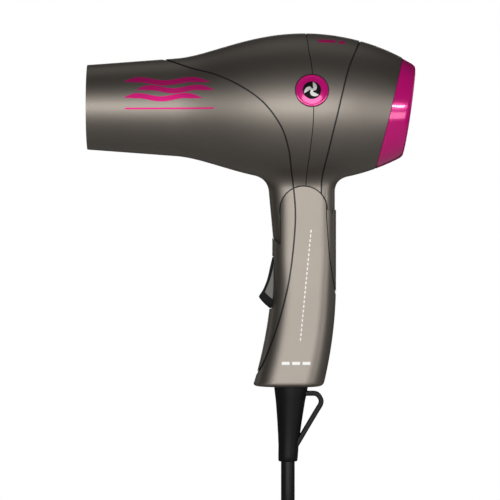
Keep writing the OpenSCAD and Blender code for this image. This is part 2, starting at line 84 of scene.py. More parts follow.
@dataclass(frozen=True)
class Finish:
    """A surface finish, made into a node material once and then shared.

    Attributes:
        slot: The record's material slot.
        colour: Base colour, linear.
        worn: Colour that large soft patches drift towards.
        metallic: Share of metal.
        roughness: Middle roughness.
        spread: How far the roughness wanders either way.
        coat: Weight of the clear coat.
        shine: Strength of the surface's own reflection.
        grain: Fine texture's size in millimetres.
        bump: Depth of the fine texture in millimetres.
        patch: Size of the large soft patches in millimetres.
    """

    slot: str
    colour: tuple[float, float, float]
    worn: tuple[float, float, float]
    metallic: float = 0.0
    roughness: float = 0.5
    spread: float = 0.05
    coat: float = 0.0
    shine: float = 0.5
    grain: float = 0.4
    bump: float = 0.01
    patch: float = 25.0

    def material(self, variant: str = "") -> bpy.types.Material:
        """Makes the material, or finds the one already made.

        Args:
            variant: Ending for the name, where a slot has more than one look.

        Returns:
            The node material.
        """
        name = self.slot + variant
        if name in bpy.data.materials and bpy.data.materials[name].get("dressed"):
            return bpy.data.materials[name]
        mat = bpy.data.materials.new(name)
        mat["dressed"] = True
        mat.use_nodes = True
        nodes, links = mat.node_tree.nodes, mat.node_tree.links
        shader = nodes["Principled BSDF"]
        shader.inputs["Metallic"].default_value = self.metallic
        shader.inputs["Coat Weight"].default_value = self.coat
        shader.inputs["Specular IOR Level"].default_value = self.shine
        shader.inputs["Coat Roughness"].default_value = 0.06
        place = nodes.new("ShaderNodeTexCoord")
        patches = nodes.new("ShaderNodeTexNoise")
        patches.inputs["Scale"].default_value = 1 / (self.patch * MM)
        patches.inputs["Detail"].default_value = 3.0
        links.new(place.outputs["Object"], patches.inputs["Vector"])
        tone = nodes.new("ShaderNodeMix")
        tone.data_type = "RGBA"
        tone.inputs["A"].default_value = (*self.colour, 1)
        tone.inputs["B"].default_value = (*self.worn, 1)
        links.new(patches.outputs["Fac"], tone.inputs["Factor"])
        links.new(tone.outputs["Result"], shader.inputs["Base Color"])
        grain = nodes.new("ShaderNodeTexNoise")
        grain.inputs["Scale"].default_value = 1 / (self.grain * MM)
        grain.inputs["Detail"].default_value = 2.0
        links.new(place.outputs["Object"], grain.inputs["Vector"])
        gloss = nodes.new("ShaderNodeMapRange")
        gloss.inputs["From Min"].default_value = 0.3
        gloss.inputs["From Max"].default_value = 0.7
        gloss.inputs["To Min"].default_value = max(0.02, self.roughness - self.spread)
        gloss.inputs["To Max"].default_value = self.roughness + self.spread
        links.new(grain.outputs["Fac"], gloss.inputs["Value"])
        links.new(gloss.outputs["Result"], shader.inputs["Roughness"])
        bump = nodes.new("ShaderNodeBump")
        bump.inputs["Distance"].default_value = self.bump * MM
        bump.inputs["Strength"].default_value = 0.6
        links.new(grain.outputs["Fac"], bump.inputs["Height"])
        links.new(bump.outputs["Normal"], shader.inputs["Normal"])
        return mat


SATIN_GREY = Finish("satin_grey", (0.36, 0.321, 0.280), (0.32, 0.286, 0.251), metallic=0.96, roughness=0.5,
                    spread=0.03, coat=0.05, grain=0.16, bump=0.002)
ROCKER_GREY = Finish("satin_grey", (0.20, 0.195, 0.18), (0.17, 0.165, 0.15), metallic=0.2, roughness=0.5,
                     grain=0.2, bump=0.004)
MAGENTA = Finish("magenta_metallic", (0.95, 0.012, 0.31), (0.86, 0.009, 0.27), metallic=0.22, roughness=0.2,
                 spread=0.02, coat=0.6, grain=0.12, bump=0.0006)
PIANO_BLACK = Finish("gloss_black", (0.008, 0.008, 0.010), (0.014, 0.013, 0.015), roughness=0.3, spread=0.03,
                     shine=0.04, grain=0.3, bump=0.0008)
BLACK_PLASTIC = Finish("black_plastic", (0.018, 0.018, 0.020), (0.030, 0.029, 0.030), roughness=0.42,
                       grain=0.25, bump=0.006)
DARK_PLASTIC = Finish("dark_plastic", (0.016, 0.016, 0.017), (0.028, 0.027, 0.027), roughness=0.5,
                      grain=0.3, bump=0.008)
RUBBER = Finish("black_rubber", (0.008, 0.008, 0.009), (0.015, 0.014, 0.015), roughness=0.46, spread=0.07,
                shine=0.2, grain=0.35, bump=0.010)
LEAD_BLACK = Finish("lead_black", (0.010, 0.010, 0.011), (0.017, 0.016, 0.017), roughness=0.4, spread=0.05,
                    shine=0.25, grain=0.5, bump=0.006)
GRILLE_GREY = Finish("dark_plastic", (0.055, 0.053, 0.052), (0.070, 0.068, 0.066), roughness=0.36,
                     grain=0.3, bump=0.006)
MICA = Finish("mica", (0.60, 0.52, 0.38), (0.42, 0.33, 0.22), roughness=0.38, spread=0.12, grain=1.2,
              bump=0.03, patch=8.0)
NICHROME = Finish("nichrome", (0.42, 0.38, 0.34), (0.22, 0.17, 0.15), metallic=0.9, roughness=0.42, grain=0.4,
                  patch=6.0)
STEEL = Finish("steel", (0.56, 0.57, 0.59), (0.46, 0.47, 0.49), metallic=1.0, roughness=0.3, grain=0.2,
               bump=0.004, patch=10.0)
FERRITE = Finish("ferrite", (0.045, 0.045, 0.05), (0.07, 0.065, 0.065), roughness=0.6, grain=0.5, bump=0.02)
BRONZE = Finish("bronze", (0.52, 0.30, 0.12), (0.40, 0.22, 0.10), metallic=0.9, roughness=0.4, grain=0.2,
                bump=0.01, patch=5.0)
COPPER = Finish("copper", (0.62, 0.24, 0.09), (0.48, 0.16, 0.07), metallic=0.9, roughness=0.3, grain=0.5,
                bump=0.04, patch=5.0)
WHITE_PLASTIC = Finish("white_plastic", (0.78, 0.78, 0.75), (0.70, 0.70, 0.66), roughness=0.4, grain=0.4)
WIRE_SLEEVE = Finish("wire_sleeve", (0.42, 0.05, 0.03), (0.30, 0.03, 0.02), roughness=0.5, grain=0.5)
NICKEL = Finish("pin_nickel", (0.66, 0.64, 0.60), (0.56, 0.54, 0.50), metallic=1.0, roughness=0.22, grain=0.3,
                bump=0.002, patch=6.0)
PINK_PRINT = Finish("magenta_metallic", (0.95, 0.018, 0.30), (0.88, 0.015, 0.27), metallic=0.75, roughness=0.55,
                    grain=0.2, bump=0.001)
PALE_FLOOR = Finish("floor", (0.93, 0.93, 0.93), (0.90, 0.90, 0.90), roughness=0.85, grain=3.0, bump=0.05,
                    patch=120.0)
WHITE_PRINT = Finish("white_plastic", (0.86, 0.85, 0.83), (0.80, 0.79, 0.77), metallic=0.6, roughness=0.5, grain=0.2,
                     bump=0.002)


@dataclass(frozen=True)
class SpunRing:
    """The inlet ring's bright finish: the magenta metal with fine turned lines round it."""

    base: Finish
    line: float = 0.9

    @property
    def slot(self) -> str:
        """The record's material slot."""
        return self.base.slot

    def material(self, variant: str = "") -> bpy.types.Material:
        """Makes the finish from the plain metal's material.

        Args:
            variant: Ending for the name, where a slot has more than one look.

        Returns:
            The node material.
        """
        mat = self.base.material(variant + "_turned")
        nodes, links = mat.node_tree.nodes, mat.node_tree.links
        shader = nodes["Principled BSDF"]
        place = nodes.new("ShaderNodeTexCoord")
        stretch = nodes.new("ShaderNodeMapping")
        stretch.inputs["Rotation"].default_value = (0, math.radians(-10), 0)
        stretch.inputs["Scale"].default_value = (1 / (self.line * MM), 4.0, 4.0)
        links.new(place.outputs["Object"], stretch.inputs["Vector"])
        lines = nodes.new("ShaderNodeTexNoise")
        lines.inputs["Scale"].default_value = 1.0
        lines.inputs["Detail"].default_value = 4.0
        links.new(stretch.outputs["Vector"], lines.inputs["Vector"])
        bump = nodes.new("ShaderNodeBump")
        bump.inputs["Distance"].default_value = 0.05 * MM
        bump.inputs["Strength"].default_value = 0.5
        links.new(lines.outputs["Fac"], bump.inputs["Height"])
        links.new(bump.outputs["Normal"], shader.inputs["Normal"])
        return mat


@dataclass(frozen=True)
class WovenSteel:
    """The inlet filter's woven wire: a lattice of round wires with dark holes between."""

    pitch: float = 0.9

    def material(self) -> bpy.types.Material:
        """Makes the woven material from two crossed wave textures."""
        mat = bpy.data.materials.new("steel_mesh")
        mat.use_nodes = True
        nodes, links = mat.node_tree.nodes, mat.node_tree.links
        shader = nodes["Principled BSDF"]
        shader.inputs["Metallic"].default_value = 0.8
        place = nodes.new("ShaderNodeTexCoord")
        heights = []
        for direction in ("Y", "Z"):
            wave = nodes.new("ShaderNodeTexWave")
            wave.bands_direction = direction
            wave.inputs["Scale"].default_value = 0.314 / (self.pitch * MM)
            links.new(place.outputs["Object"], wave.inputs["Vector"])
            heights.append(wave.outputs["Fac"])
        top = nodes.new("ShaderNodeMath")
        top.operation = "MAXIMUM"
        links.new(heights[0], top.inputs[0])
        links.new(heights[1], top.inputs[1])
        ramp = nodes.new("ShaderNodeValToRGB")
        ramp.color_ramp.elements[0].position = 0.62
        ramp.color_ramp.elements[0].color = (0.004, 0.004, 0.004, 1)
        ramp.color_ramp.elements[1].position = 0.8
        ramp.color_ramp.elements[1].color = (0.30, 0.31, 0.33, 1)
        links.new(top.outputs[0], ramp.inputs["Fac"])
        links.new(ramp.outputs["Color"], shader.inputs["Base Color"])
        gloss = nodes.new("ShaderNodeMapRange")
        gloss.inputs["To Min"].default_value = 0.75
        gloss.inputs["To Max"].default_value = 0.32
        links.new(top.outputs[0], gloss.inputs["Value"])
        links.new(gloss.outputs["Result"], shader.inputs["Roughness"])
        bump = nodes.new("ShaderNodeBump")
        bump.inputs["Distance"].default_value = 0.25 * MM
        links.new(top.outputs[0], bump.inputs["Height"])
        links.new(bump.outputs["Normal"], shader.inputs["Normal"])
        return mat


# ---- Shaping tools --------------------------------------------------------------------------------


def smooth_line(points: Line, per: int = 8) -> list[tuple[float, float]]:
    """Runs a smooth curve through the points of an outline.

    Args:
        points: The places that the curve passes through.
        per: How many steps there are between two of them.

    Returns:
        The curve's points.
    """
    pts = [Vector(p) for p in points]
    ends = [pts[0] * 2 - pts[1], *pts, pts[-1] * 2 - pts[-2]]
    made = []
    for a, b, c, d in zip(ends, ends[1:], ends[2:], ends[3:]):
        for k in range(per):
            t = k / per
            p = 0.5 * (2 * b + (c - a) * t + (2 * a - 5 * b + 4 * c - d) * t**2 + (3 * b - a - 3 * c + d) * t**3)
            made.append((p.x, p.y))
    return [*made, tuple(pts[-1])]


def beside(line: Line, distance: float) -> list[tuple[float, float]]:
    """A line that runs beside another.

    Args:
        line: The line to follow.
        distance: How far to its left, seen along it, or to its right if below zero.

    Returns:
        The new line's points.
    """
    pts = [Vector(p) for p in line]
    made = []
    for i, p in enumerate(pts):
        along = (pts[min(i + 1, len(pts) - 1)] - pts[max(i - 1, 0)]).normalized()
        made.append((p.x - along.y * distance, p.y + along.x * distance))
    return made


def arc(centre: tuple[float, float], radius: float, start: float, end: float, steps: int = 24) -> list:
    """Points along an arc.

    Args:
        centre: The arc's centre.
        radius: Its radius.
        start: First angle in degrees.
        end: Last angle in degrees.
        steps: How many pieces it has.

    Returns:
        The points.
    """
    angles = [math.radians(start + (end - start) * k / steps) for k in range(steps + 1)]
    return [(centre[0] + radius * math.cos(a), centre[1] + radius * math.sin(a)) for a in angles]


def loft(place: Place, stations: Sequence[float], sides: int) -> bmesh.types.BMesh:
    """Sweeps a ring through stations and closes both ends.

    Args:
        place: Gives a point for a station and an angle.
        stations: The values that the ring steps through.
        sides: How many points the ring has.

    Returns:
        A closed surface.
    """
    bm = bmesh.new()
    turn = bm.verts.layers.float.new("turn")
    bmesh.ops.create_circle(bm, cap_ends=False, radius=1.0, segments=sides)
    for v in bm.verts:
        v[turn] = math.atan2(v.co.y, v.co.x)
        v.co = place(stations[0], v[turn])
    rim = bm.edges[:]
    bmesh.ops.contextual_create(bm, geom=rim)
    for station in stations[1:]:
        made = bmesh.ops.extrude_edge_only(bm, edges=rim)["geom"]
        fresh = {g for g in made if isinstance(g, bmesh.types.BMVert)}
        rim = [g for g in made if isinstance(g, bmesh.types.BMEdge) and set(g.verts) <= fresh]
        for v in fresh:
            v.co = place(station, v[turn])
    bmesh.ops.contextual_create(bm, geom=rim)
    bmesh.ops.recalc_face_normals(bm, faces=bm.faces)
    return bm


def prism(outline: Line, y0: float, y1: float) -> bmesh.types.BMesh:
    """A side view outline made solid across the object.

    Args:
        outline: Points in X and Z.
        y0: Where the solid starts.
        y1: Where it ends.

    Returns:
        A closed solid.
    """
    bm = bmesh.new()
    face = bm.faces.new([bm.verts.new((x, y0, z)) for x, z in outline])
    made = bmesh.ops.extrude_face_region(bm, geom=[face])["geom"]
    far = [g for g in made if isinstance(g, bmesh.types.BMVert)]
    bmesh.ops.translate(bm, verts=far, vec=(0, y1 - y0, 0))
    bmesh.ops.recalc_face_normals(bm, faces=bm.faces)
    return bm


def soften(bm: bmesh.types.BMesh, offset: float, segments: int = 3, angle: float = 30.0) -> None:
    """Rounds the edges that are sharper than an angle.

    Args:
        bm: The piece.
        offset: Width of the rounding.
        segments: Its steps.
        angle: The least angle in degrees between two faces that counts as an edge.
    """
    sharp = [e for e in bm.edges if len(e.link_faces) == 2 and e.calc_face_angle() > math.radians(angle)]
    bmesh.ops.bevel(bm, geom=sharp, offset=offset, segments=segments, profile=0.5, affect="EDGES",
                    clamp_overlap=True, material=-1)


def rod(start: Vector, end: Vector, radius: float, sides: int = 48) -> bmesh.types.BMesh:
    """A round rod from one point to another.

    Args:
        start: Centre of one end.
        end: Centre of the other.
        radius: The rod's radius.
        sides: How many sides it has.

    Returns:
        A closed solid.
    """
    bm = bmesh.new()
    bmesh.ops.create_cone(bm, cap_ends=True, segments=sides, radius1=radius, radius2=radius,
                          depth=(end - start).length)
    turned = (end - start).to_track_quat("Z", "Y").to_matrix().to_4x4()
    bm.transform(Matrix.Translation((start + end) / 2) @ turned)
    return bm


def revolve(profile: Line, frame_matrix: Matrix, steps: int = 96) -> bmesh.types.BMesh:
    """Turns a closed outline about an axis into a ring.

    Args:
        profile: Points as distance from the axis and height along it.
        frame_matrix: Puts the axis, which is +Z at first, in its place.
        steps: How many steps the turn has.

    Returns:
        A closed ring.
    """
    bm = bmesh.new()
    verts = [bm.verts.new((r, 0, h)) for r, h in profile]
    edges = [bm.edges.new((a, b)) for a, b in zip(verts, verts[1:] + verts[:1])]
    bmesh.ops.spin(bm, geom=verts + edges, cent=(0, 0, 0), axis=(0, 0, 1), angle=TURN, steps=steps, use_merge=True)
    bmesh.ops.remove_doubles(bm, verts=bm.verts, dist=1e-5)
    bmesh.ops.recalc_face_normals(bm, faces=bm.faces)
    bm.transform(frame_matrix)
    return bm


def as_object(bm: bmesh.types.BMesh, name: str) -> bpy.types.Object:
    """Makes a scene object from a shape and frees the shape.

    Args:
        bm: The shape.
        name: The object's name.

    Returns:
        The object.
    """
    mesh = bpy.data.meshes.new(name)
    bm.to_mesh(mesh)
    bm.free()
    obj = bpy.data.objects.new(name, mesh)
    bpy.context.scene.collection.objects.link(obj)
    return obj


def settle(obj: bpy.types.Object) -> bpy.types.Object:
    """Writes an object's modifiers into its mesh.

    Args:
        obj: The object.

    Returns:
        The same object.
    """
    seen = obj.evaluated_get(bpy.context.evaluated_depsgraph_get())
    mesh = bpy.data.meshes.new_from_object(seen)
    obj.modifiers.clear()
    old, obj.data = obj.data, mesh
    bpy.data.meshes.remove(old)
    return obj


def carve(obj: bpy.types.Object, cutter: bmesh.types.BMesh, how: Cut) -> bpy.types.Object:
    """Cuts a piece with a solid.

    Args:
        obj: The piece.
        cutter: The cutting solid, which is used up.
        how: Whether what is inside the cutter stays or goes.

    Returns:
        The piece.
    """
    tool = as_object(cutter, "cutter")
    change = obj.modifiers.new("cut", "BOOLEAN")
    change.operation = how.value
    change.solver = "MANIFOLD"
    change.object = tool
    settle(obj)
    bpy.data.objects.remove(tool)
    return obj


def twin(obj: bpy.types.Object, name: str) -> bpy.types.Object:
    """A second object with a mesh of its own.

    Args:
        obj: The object to copy.
        name: The copy's name.

    Returns:
        The copy.
    """
    made = obj.copy()
    made.data = obj.data.copy()
    made.name = name
    bpy.context.scene.collection.objects.link(made)
    return made


def publish(obj: bpy.types.Object, body: Body, finish: Finish | SpunRing, stands_for: Sequence[str] = (),
            variant: str = "", sharp: float = 32.0) -> bpy.types.Object:
    """Finishes a piece: metres, smooth shading, its material, and the body that it rides on.

    Args:
        obj: The piece, in millimetres.
        body: The body that it moves with.
        finish: Its finish.
        stands_for: The nodes of the model that it stands for.
        variant: Ending for the material's name.
        sharp: Edges above this angle stay sharp, in degrees.

    Returns:
        The piece.
    """
    obj.data.transform(Matrix.Scale(MM, 4))
    obj.data.shade_smooth()
    obj.data.set_sharp_from_angle(angle=math.radians(sharp))
    obj.data.materials.clear()
    obj.data.materials.append(finish.material(variant))
    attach(obj, body.value)
    finish.slot
    if stands_for:
        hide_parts(*stands_for)
    LOG.info("%s: %d faces on %s", obj.name, len(obj.data.polygons), body.value)
    return obj


def joined(shapes: Sequence[bmesh.types.BMesh], name: str) -> bpy.types.Object:
    """Puts several shapes into one object.

    Args:
        shapes: The shapes, which are used up.
        name: The object's name.

    Returns:
        The object.
    """
    whole = bmesh.new()
    for shape in shapes:
        mesh = bpy.data.meshes.new("part")
        shape.to_mesh(mesh)
        shape.free()
        whole.from_mesh(mesh)
        bpy.data.meshes.remove(mesh)
    return as_object(whole, name)


# ---- The outer form -----------------------------------------------------------------------------------


@dataclass
class BarrelForm:
    """The barrel's outline as a body of revolution, and the neck that blends into it."""

    axis_z: float = 117.5
    radius: float = 41.37
    arc_r: float = 118.0
    widest_x: float = 0.4
    mouth_x: float = -120.79
    mouth_r: float = 23.7
    slope: float = 0.074
    flare: float = 10.0
    wall: float = 1.8
    neck_flat: tuple[float, float] = (-4.6, 6.5)
    neck_half_w: float = 12.7
    neck_power: float = 2.7
    fillet: float = 7.5

    def radius_at(self, x: np.ndarray | float) -> np.ndarray | float:
        """Outer radius at a place along the axis."""
        dome = self.radius - self.arc_r + np.sqrt(np.maximum(0, self.arc_r**2 - (x - self.widest_x) ** 2))
        cone = self.mouth_r + (x - self.mouth_x) * self.slope
        near = np.maximum(self.flare - np.abs(dome - cone), 0) / self.flare
        return np.where(x > -10, dome, np.maximum(dome, cone) + self.flare / 4 * near**2)

    def side_y(self, x: float, z: float) -> float:
        """Half width of the barrel at a place in the side view."""
        return math.sqrt(max(0.0, float(self.radius_at(x)) ** 2 - (z - self.axis_z) ** 2))

    def neck_distance(self, p: np.ndarray) -> np.ndarray:
        """Distance outside the neck's rounded oblong section, for many points."""
        low, high = self.neck_flat
        front = low + 16.9 + (p[:, 2] - 44.0) * 0.092
        dx = np.minimum(p[:, 0] - low, 0) + np.maximum(p[:, 0] - high, 0)
        reach = np.where(dx < 0, front, 17.7 - high)
        power = self.neck_power
        ratio = (np.abs(dx / reach) ** power + np.abs(p[:, 1] / self.neck_half_w) ** power) ** (1 / power)
        ratio = np.maximum(ratio, 1e-4)
        return np.hypot(dx, p[:, 1]) * (1 - 1 / ratio)

    def distance(self, p: np.ndarray) -> np.ndarray:
        """Distance outside the barrel and neck together, with a soft fillet between, for many points."""
        barrel = np.hypot(p[:, 1], p[:, 2] - self.axis_z) - self.radius_at(p[:, 0])
        neck = np.maximum(self.neck_distance(p), p[:, 2] - self.axis_z)
        near = np.maximum(self.fillet - np.abs(barrel - neck), 0) / self.fillet
        return np.minimum(barrel, neck) - near**2 * self.fillet / 4

    def drawn_onto(self, obj: bpy.types.Object, level: float) -> bpy.types.Object:
        """Moves every point of a mesh onto the form.

        Args:
            obj: The mesh.
            level: How far outside the form, or inside if below zero.

        Returns:
            The same object.
        """
        count = len(obj.data.vertices)
        co = np.empty(count * 3)
        obj.data.vertices.foreach_get("co", co)
        p = co.reshape(-1, 3)
        step = 0.02
        for _ in range(6):
            here = self.distance(p) - level
            slope = np.stack([(self.distance(p + step * e) - here - level) / step for e in np.eye(3)], axis=1)
            p = p - slope * (here / np.maximum((slope**2).sum(1), 0.1))[:, None]
        obj.data.vertices.foreach_set("co", p.ravel())
        obj.data.update()
        return obj

    def skin(self) -> bpy.types.Object:
        """The outer surface of barrel and neck as one smooth closed mesh, longer than needed at its ends."""
        bm = bmesh.new()
        xs = np.linspace(self.mouth_x - 6, 68, 64)
        chain = [bm.verts.new((x, 0, self.axis_z + float(self.radius_at(x)))) for x in xs]
        chain = [bm.verts.new((xs[0], 0, self.axis_z)), *chain, bm.verts.new((xs[-1], 0, self.axis_z))]
        edges = [bm.edges.new(pair) for pair in zip(chain, chain[1:])]
        bmesh.ops.spin(bm, geom=chain + edges, cent=(0, 0, self.axis_z), axis=(1, 0, 0), angle=TURN, steps=96,
                       use_merge=True)
        bmesh.ops.remove_doubles(bm, verts=bm.verts, dist=1e-4)
        bmesh.ops.recalc_face_normals(bm, faces=bm.faces)
        neck = prism([(-17.5, 34), (17, 34), (17, 100), (-17.5, 100)], -12.5, 12.5)
        obj = joined([bm, neck], "skin")
        remesh = obj.modifiers.new("even", "REMESH")
        remesh.mode = "VOXEL"
        remesh.voxel_size = 1.15
        settle(obj)
        bm = bmesh.new()
        bm.from_mesh(obj.data)
        for _ in range(3):
            bmesh.ops.smooth_vert(bm, verts=bm.verts, factor=0.5, use_axis_x=True, use_axis_y=True, use_axis_z=True)
        bm.to_mesh(obj.data)
        bm.free()
        return self.drawn_onto(obj, 0.0)


@dataclass
class Seams:
    """The seams of the casings, as lines in the side view. All run from the top down."""

    gap: float = 0.9
    hinge: tuple[float, float] = (0.0, 60.0)
    cheek_r: float = 12.8
    sweep_r: float = 23.1
    sweep_gap: float = 0.14
    lap: float = 0.45
    far: float = 220.0

    def front(self) -> list[tuple[float, float]]:
        """From the top of the nozzle across the side and down the handle to its front edge."""
        return smooth_line([
            (-92, 148.4), (-79, 144.6), (-62.8, 138.6), (-48.5, 134.4), (-34.2, 127.4), (-22, 118.2),
            (-12.8, 105.6), (-8.6, 93.5), (-7.0, 82.6), (-5.7, 73), (-4.6, 60), (-4.9, 47.9), (-6.7, 29.8),
            (-9.4, 14), (-14.5, -4.7), (-21.5, -23.5), (-25.5, -30.5), (-34, -39),
        ])

    def middle(self) -> list[tuple[float, float]]:
        """From the top through the badge to the hinge."""
        return smooth_line([
            (1.2, 161), (2.6, 148.2), (4.2, 137.9), (5.0, 122), (4.9, 107.7), (3.4, 93), (1.2, 72), (0.8, 30),
        ])

    def rear(self) -> list[tuple[float, float]]:
        """From the top behind the badge to the hinge's cheek."""
        return smooth_line([
            (33.5, 158), (29.6, 149.8), (24.1, 136), (18.4, 112.8), (13.8, 93.6), (10.5, 79), (9.9, 68.9), (9.7, 30),
        ])

    def spine(self) -> list[tuple[float, float]]:
        """Edge of the strip down the handle's rear."""
        return smooth_line([(12.8, 66), (12.8, 59), (13.5, 47), (14.6, 33.7), (15.9, 25.5), (17.4, 17), (20, 8)])

    def ahead_of(self, line: Line, gap: float | None = None) -> list[tuple[float, float]]:
        """Outline of everything in front of a seam, short of half its gap."""
        return self.beyond(line, -1, self.gap if gap is None else gap)

    def behind(self, line: Line, gap: float | None = None) -> list[tuple[float, float]]:
        """Outline of everything behind a seam, short of half its gap."""
        return self.beyond(line, 1, self.gap if gap is None else gap)

    def beyond(self, line: Line, way: int, gap: float) -> list[tuple[float, float]]:
        """Outline of everything on one side of a seam.

        Args:
            line: The seam, from the top down.
            way: -1 for what is in front of it, 1 for what is behind.
            gap: The seam's width, half of which is left free.

        Returns:
            The outline.
        """
        edge, out = beside(line, way * gap / 2), way * self.far
        return [*edge, (edge[-1][0], -self.far), (out, -self.far), (out, self.far), (edge[0][0], self.far)]


# ---- Sub-assemblies -------------------------------------------------------------------------------------


@dataclass
class Casings:
    """The barrel's front and rear shells, each of two panels that meet at a fine groove."""

    form: BarrelForm
    seams: Seams
    ring_at: tuple[float, float] = (47.45, 112.9)
    ring_tilt: float = 13.6
    slack: float = 0.3
    ring_gap: float = 0.12
    cheek_gap: float = 0.75
    skin_depth: float = 0.5
    boss_pocket_r: float = 10.2
    lip_overlap: float = 1.6
    drum_r: float = 15.8
    drum_half_w: float = 11.4
    pin_hole_r: float = 2.56

    def layer(self, skin: bpy.types.Object, high: float, low: float, lap: float, cheek: float) -> bpy.types.Object:
        """One layer of the casing's wall, cut open at the mouth, at the ring's seam and round the fold hinge.

        Args:
            skin: The smooth closed surface.
            high: Level of the layer's outside.
            low: Level of its inside.
            lap: How far it reaches past the joint with the handle.
            cheek: Radius of the round cut-out for the handle's cheeks.

        Returns:
            The layer.
        """
        outer = self.form.drawn_onto(twin(skin, "outer"), high)
        inner = self.form.drawn_onto(twin(skin, "inner"), low)
        bm = bmesh.new()
        bm.from_mesh(inner.data)
        bpy.data.objects.remove(inner)
        carve(outer, bm, Cut.TAKE_AWAY)
        hinge = Vector((self.seams.hinge[0], 0, self.seams.hinge[1]))
        slope = math.tan(math.radians(self.ring_tilt))
        low, high = 30.0, 170.0
        rear = [(self.ring_at[0] - self.ring_gap + slope * (z - self.ring_at[1]), z) for z in (low, high)]
        keep_r = self.seams.sweep_r - self.seams.sweep_gap + lap
        foot = hinge.z + self.seams.sweep_gap - lap
        front_x = 1.5 * lap - self.seams.cheek_r - self.slack
        start = 180 + math.degrees(math.acos(-front_x / keep_r))
        outline = [
            (self.form.mouth_x, high), (self.form.mouth_x, 64), (-40, 64), (-30, 56),
            *arc(self.seams.hinge, keep_r, 192, start, 16), (front_x, foot), (rear[0][0] + slope * 30, foot), rear[1],
        ]
        carve(outer, prism(outline, -60, 60), Cut.KEEP_INSIDE)
        across = Vector((0, 30, 0))
        return carve(outer, rod(hinge - across, hinge + across, cheek, 96), Cut.TAKE_AWAY)

    def knuckle(self, skin: bpy.types.Object) -> None:
        """The barrel's half of the hinge: a drum inside the neck with a pocket for each of the handle's bosses.

        Args:
            skin: The smooth closed surface of the casing.
        """
        cx, cz = self.seams.hinge
        made = self.form.drawn_onto(twin(skin, "neck_knuckle_drum"), -self.form.wall - 0.1)
        side = [(self.drum_r, 72), (-self.drum_r, 72), *arc((cx, cz), self.drum_r, 180, 360, 48)]
        carve(made, prism(side, -self.drum_half_w, self.drum_half_w), Cut.KEEP_INSIDE)
        for y0, y1, r in ((-20, -9, self.boss_pocket_r), (9, 20, self.boss_pocket_r), (-20, 20, self.pin_hole_r)):
            carve(made, rod(Vector((cx, y0, cz)), Vector((cx, y1, cz)), r, 64), Cut.TAKE_AWAY)
        carve(made, prism([(3.5, 40), (8.5, 40), (8.5, 80), (3.5, 80)], -5, 5), Cut.TAKE_AWAY)
        publish(made, Body.BARREL, BLACK_PLASTIC, ["neck_knuckle"])

    def build(self, badge: "Badge") -> None:
        """Makes the two shells.

        Args:
            badge: The badge that sits in a recess across their seam.
        """
        skin = self.form.skin()
        self.knuckle(skin)
        whole = self.layer(skin, 0.0, -self.skin_depth, 0.0, self.seams.cheek_r + self.cheek_gap)
        lip = self.layer(skin, -self.skin_depth, -self.form.wall, self.seams.lap, self.boss_pocket_r)
        bpy.data.objects.remove(skin)
        for side in SIDES:
            carve(whole, badge.socket(side), Cut.TAKE_AWAY)
        front, middle, rear = self.seams.front(), self.seams.middle(), self.seams.rear()
        overlap = beside(middle, self.lip_overlap)
        for name, outline in (("front_shell_lip", self.seams.ahead_of(overlap, 0.1)),
                              ("rear_shell_lip", self.seams.behind(overlap, 0.1))):
            part = carve(twin(lip, name), prism(outline, -70, 70), Cut.KEEP_INSIDE)
            publish(part, Body.BARREL, DARK_PLASTIC)
        bpy.data.objects.remove(lip)
        panels = {
            "nozzle_panel": [self.seams.ahead_of(front)],
            "front_side_panel": [self.seams.behind(front), self.seams.ahead_of(middle, 0.5)],
            "rear_side_panel": [self.seams.behind(middle, 0.5), self.seams.ahead_of(rear)],
            "inlet_panel": [self.seams.behind(rear)],
        }
        stands = {"nozzle_panel": ["front_shell"], "inlet_panel": ["rear_shell"]}
        for name, outlines in panels.items():
            panel = twin(whole, name)
            for outline in outlines:
                carve(panel, prism(outline, -70, 70), Cut.KEEP_INSIDE)
            publish(panel, Body.BARREL, SATIN_GREY, stands.get(name, ()))
        bpy.data.objects.remove(whole)


